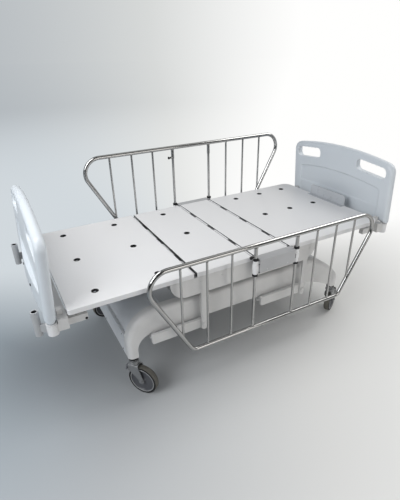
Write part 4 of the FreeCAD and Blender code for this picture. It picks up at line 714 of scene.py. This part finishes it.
def dimmed_in_gloss(tree, behind):
    """Brightness of the backdrop: full to the camera, lower in gloss and lowest behind the camera."""
    path = tree.nodes.new("ShaderNodeLightPath")
    gloss = math_node(tree, "SUBTRACT", path.outputs["Is Glossy Ray"], path.outputs["Is Camera Ray"])
    gloss = math_node(tree, "MAXIMUM", gloss, 0.0)
    loss = math_node(tree, "ADD", math_node(tree, "MULTIPLY", behind, DARK_BEHIND), GLOSS_LOSS)
    return math_node(tree, "SUBTRACT", 1.0, math_node(tree, "MULTIPLY", gloss, loss))


def make_floor():
    """Wide floor with painted shade to the left and a painted shadow by the foot end, fading into the
    backdrop.
    """
    builder = bmesh.new()
    reach = 60.0
    builder.faces.new([builder.verts.new(corner) for corner in
                       ((-reach, -reach, 0), (reach, -reach, 0), (reach, reach, 0), (-reach, reach, 0))])
    mesh = bpy.data.meshes.new("studio_floor")
    builder.to_mesh(mesh)
    builder.free()
    floor = bpy.data.objects.new("studio_floor", mesh)
    bpy.context.scene.collection.objects.link(floor)
    floor.rotation_euler = (0, 0, CAMERA_YAW)
    material = bpy.data.materials.new("studio_paper")
    material.use_nodes = True
    mesh.materials.append(material)
    tree = material.node_tree
    paper = tree.nodes["Principled BSDF"]
    paper.inputs["Roughness"].default_value = 0.75
    paper.inputs["Specular IOR Level"].default_value = 0.25
    coords = tree.nodes.new("ShaderNodeTexCoord")
    split = tree.nodes.new("ShaderNodeSeparateXYZ")
    tree.links.new(coords.outputs["Object"], split.inputs["Vector"])
    x, y = split.outputs["X"], split.outputs["Y"]
    # painted shade: the floor's colours darken towards the left
    across = map_range(tree, x, *FLOOR_ACROSS)
    # painted shadow: a soft dark pool beside the foot end
    off_x = math_node(tree, "SUBTRACT", x, SHADE_AT[0])
    off_y = math_node(tree, "MULTIPLY", math_node(tree, "SUBTRACT", y, SHADE_AT[1]),
                      SHADE_STRETCH)
    apart = math_node(tree, "SQRT", math_node(tree, "ADD", math_node(tree, "MULTIPLY", off_x, off_x),
                                              math_node(tree, "MULTIPLY", off_y, off_y)), 0.0)
    lit = math_node(tree, "MULTIPLY", map_range(tree, apart, *SHADE_REACH), SHADE_DEPTH)
    shade = math_node(tree, "ADD", lit, 1 - SHADE_DEPTH)
    scale = tree.nodes.new("ShaderNodeVectorMath")
    scale.operation = "SCALE"
    tree.links.new(color_steps(tree, across, FLOOR), scale.inputs[0])
    tree.links.new(shade, scale.inputs["Scale"])
    tree.links.new(scale.outputs["Vector"], paper.inputs["Base Color"])
    far = tree.nodes.new("ShaderNodeVectorMath")
    far.operation = "LENGTH"
    tree.links.new(coords.outputs["Object"], far.inputs[0])
    beside = math_node(tree, "MULTIPLY", map_range(tree, y, *FADE_LEFT_BACK),
                       map_range(tree, math_node(tree, "MULTIPLY", x, -1.0), *FADE_LEFT))
    fade = math_node(tree, "MAXIMUM", map_range(tree, far.outputs["Value"], *FADE_FAR), beside)
    fade = math_node(tree, "MAXIMUM", map_range(tree, y, *FADE_BACK), fade)
    turn = map_range(tree, math_node(tree, "DIVIDE", x, far.outputs["Value"]), *BACKDROP_ACROSS)
    glow = tree.nodes.new("ShaderNodeEmission")
    blend = tree.nodes.new("ShaderNodeMix")
    blend.data_type = "RGBA"
    tree.links.new(map_range(tree, far.outputs["Value"], *BACKDROP_BLEND), blend.inputs["Factor"])
    tree.links.new(color_steps(tree, turn, NEAR_BACKDROP), blend.inputs[6])
    tree.links.new(color_steps(tree, turn, BACKDROP), blend.inputs[7])
    tree.links.new(blend.outputs[2], glow.inputs["Color"])
    behind = map_range(tree, math_node(tree, "MULTIPLY", y, -1.0), *FLOOR_BEHIND)
    tree.links.new(dimmed_in_gloss(tree, behind), glow.inputs["Strength"])
    mix = tree.nodes.new("ShaderNodeMixShader")
    tree.links.new(math_node(tree, "MULTIPLY", fade, seen_ray(tree)), mix.inputs["Fac"])
    tree.links.new(paper.outputs["BSDF"], mix.inputs[1])
    tree.links.new(glow.outputs["Emission"], mix.inputs[2])
    tree.links.new(mix.outputs["Shader"], tree.nodes["Material Output"].inputs["Surface"])


def make_world():
    """Cool even light, seen as the pale backdrop."""
    world = bpy.data.worlds.new("studio_air")
    bpy.context.scene.world = world
    world.use_nodes = True
    tree = world.node_tree
    air = tree.nodes["Background"]
    air.inputs["Color"].default_value = (*AIR_COLOR, 1)
    air.inputs["Strength"].default_value = AIR_STRENGTH
    coords = tree.nodes.new("ShaderNodeTexCoord")
    dot = tree.nodes.new("ShaderNodeVectorMath")
    dot.operation = "DOT_PRODUCT"
    tree.links.new(coords.outputs["Generated"], dot.inputs[0])
    dot.inputs[1].default_value = (math.cos(CAMERA_YAW), math.sin(CAMERA_YAW), 0)
    seen = tree.nodes.new("ShaderNodeBackground")
    across = map_range(tree, dot.outputs["Value"], *BACKDROP_ACROSS)
    tree.links.new(color_steps(tree, across, BACKDROP), seen.inputs["Color"])
    ahead = tree.nodes.new("ShaderNodeVectorMath")
    ahead.operation = "DOT_PRODUCT"
    tree.links.new(coords.outputs["Generated"], ahead.inputs[0])
    ahead.inputs[1].default_value = (math.sin(CAMERA_YAW), -math.cos(CAMERA_YAW), 0)
    behind = map_range(tree, ahead.outputs["Value"], *AIR_BEHIND)
    tree.links.new(dimmed_in_gloss(tree, behind), seen.inputs["Strength"])
    mix = tree.nodes.new("ShaderNodeMixShader")
    tree.links.new(seen_ray(tree), mix.inputs["Fac"])
    tree.links.new(air.outputs["Background"], mix.inputs[1])
    tree.links.new(seen.outputs["Background"], mix.inputs[2])
    tree.links.new(mix.outputs["Shader"], tree.nodes["World Output"].inputs["Surface"])


def area_lamp(name, at, aim, size, power, color):
    """Square soft box aimed at a point."""
    data = bpy.data.lights.new(name, "AREA")
    data.shape, data.size, data.energy, data.color = "SQUARE", size, power, color
    lamp = bpy.data.objects.new(name, data)
    bpy.context.scene.collection.objects.link(lamp)
    lamp.location = at
    lamp.rotation_mode = "QUATERNION"
    lamp.rotation_quaternion = (Vector(aim) - Vector(at)).to_track_quat("-Z", "Y")


def make_light():
    """Soft key from the right, a box over the foot end, a cool fill left and a warm one in front."""
    for lamp in LAMPS:
        area_lamp(*lamp)


def make_camera():
    """Camera at the photograph's place and angle."""
    data = bpy.data.cameras.new("main_camera")
    data.lens, data.sensor_width = CAMERA_LENS, SENSOR
    data.clip_start, data.clip_end = 0.05, 60
    camera = bpy.data.objects.new("main_camera", data)
    bpy.context.scene.collection.objects.link(camera)
    forward = Vector((-math.sin(CAMERA_YAW) * math.cos(CAMERA_PITCH),
                      math.cos(CAMERA_YAW) * math.cos(CAMERA_PITCH), math.sin(CAMERA_PITCH)))
    level = Vector((math.cos(CAMERA_YAW), math.sin(CAMERA_YAW), 0))
    up = level.cross(forward)
    c, s = math.cos(CAMERA_ROLL), math.sin(CAMERA_ROLL)
    x_axis, y_axis = level * c + up * s, up * c - level * s
    turn = Matrix((x_axis, y_axis, -forward)).transposed().to_4x4()
    camera.matrix_world = Matrix.Translation(CAMERA_AT) @ turn
    bpy.context.scene.camera = camera


dress_nodes()
for end_name in ENDS:
    blown_board(end_name)
for caster_name in CASTER_HEADING:
    caster(caster_name)
for side_name in SIDES:
    weld_beads(side_name)
sleeve_catches()
fittings()
make_floor()
make_world()
make_light()
make_camera()
bpy.context.scene.view_settings.view_transform = "Standard"
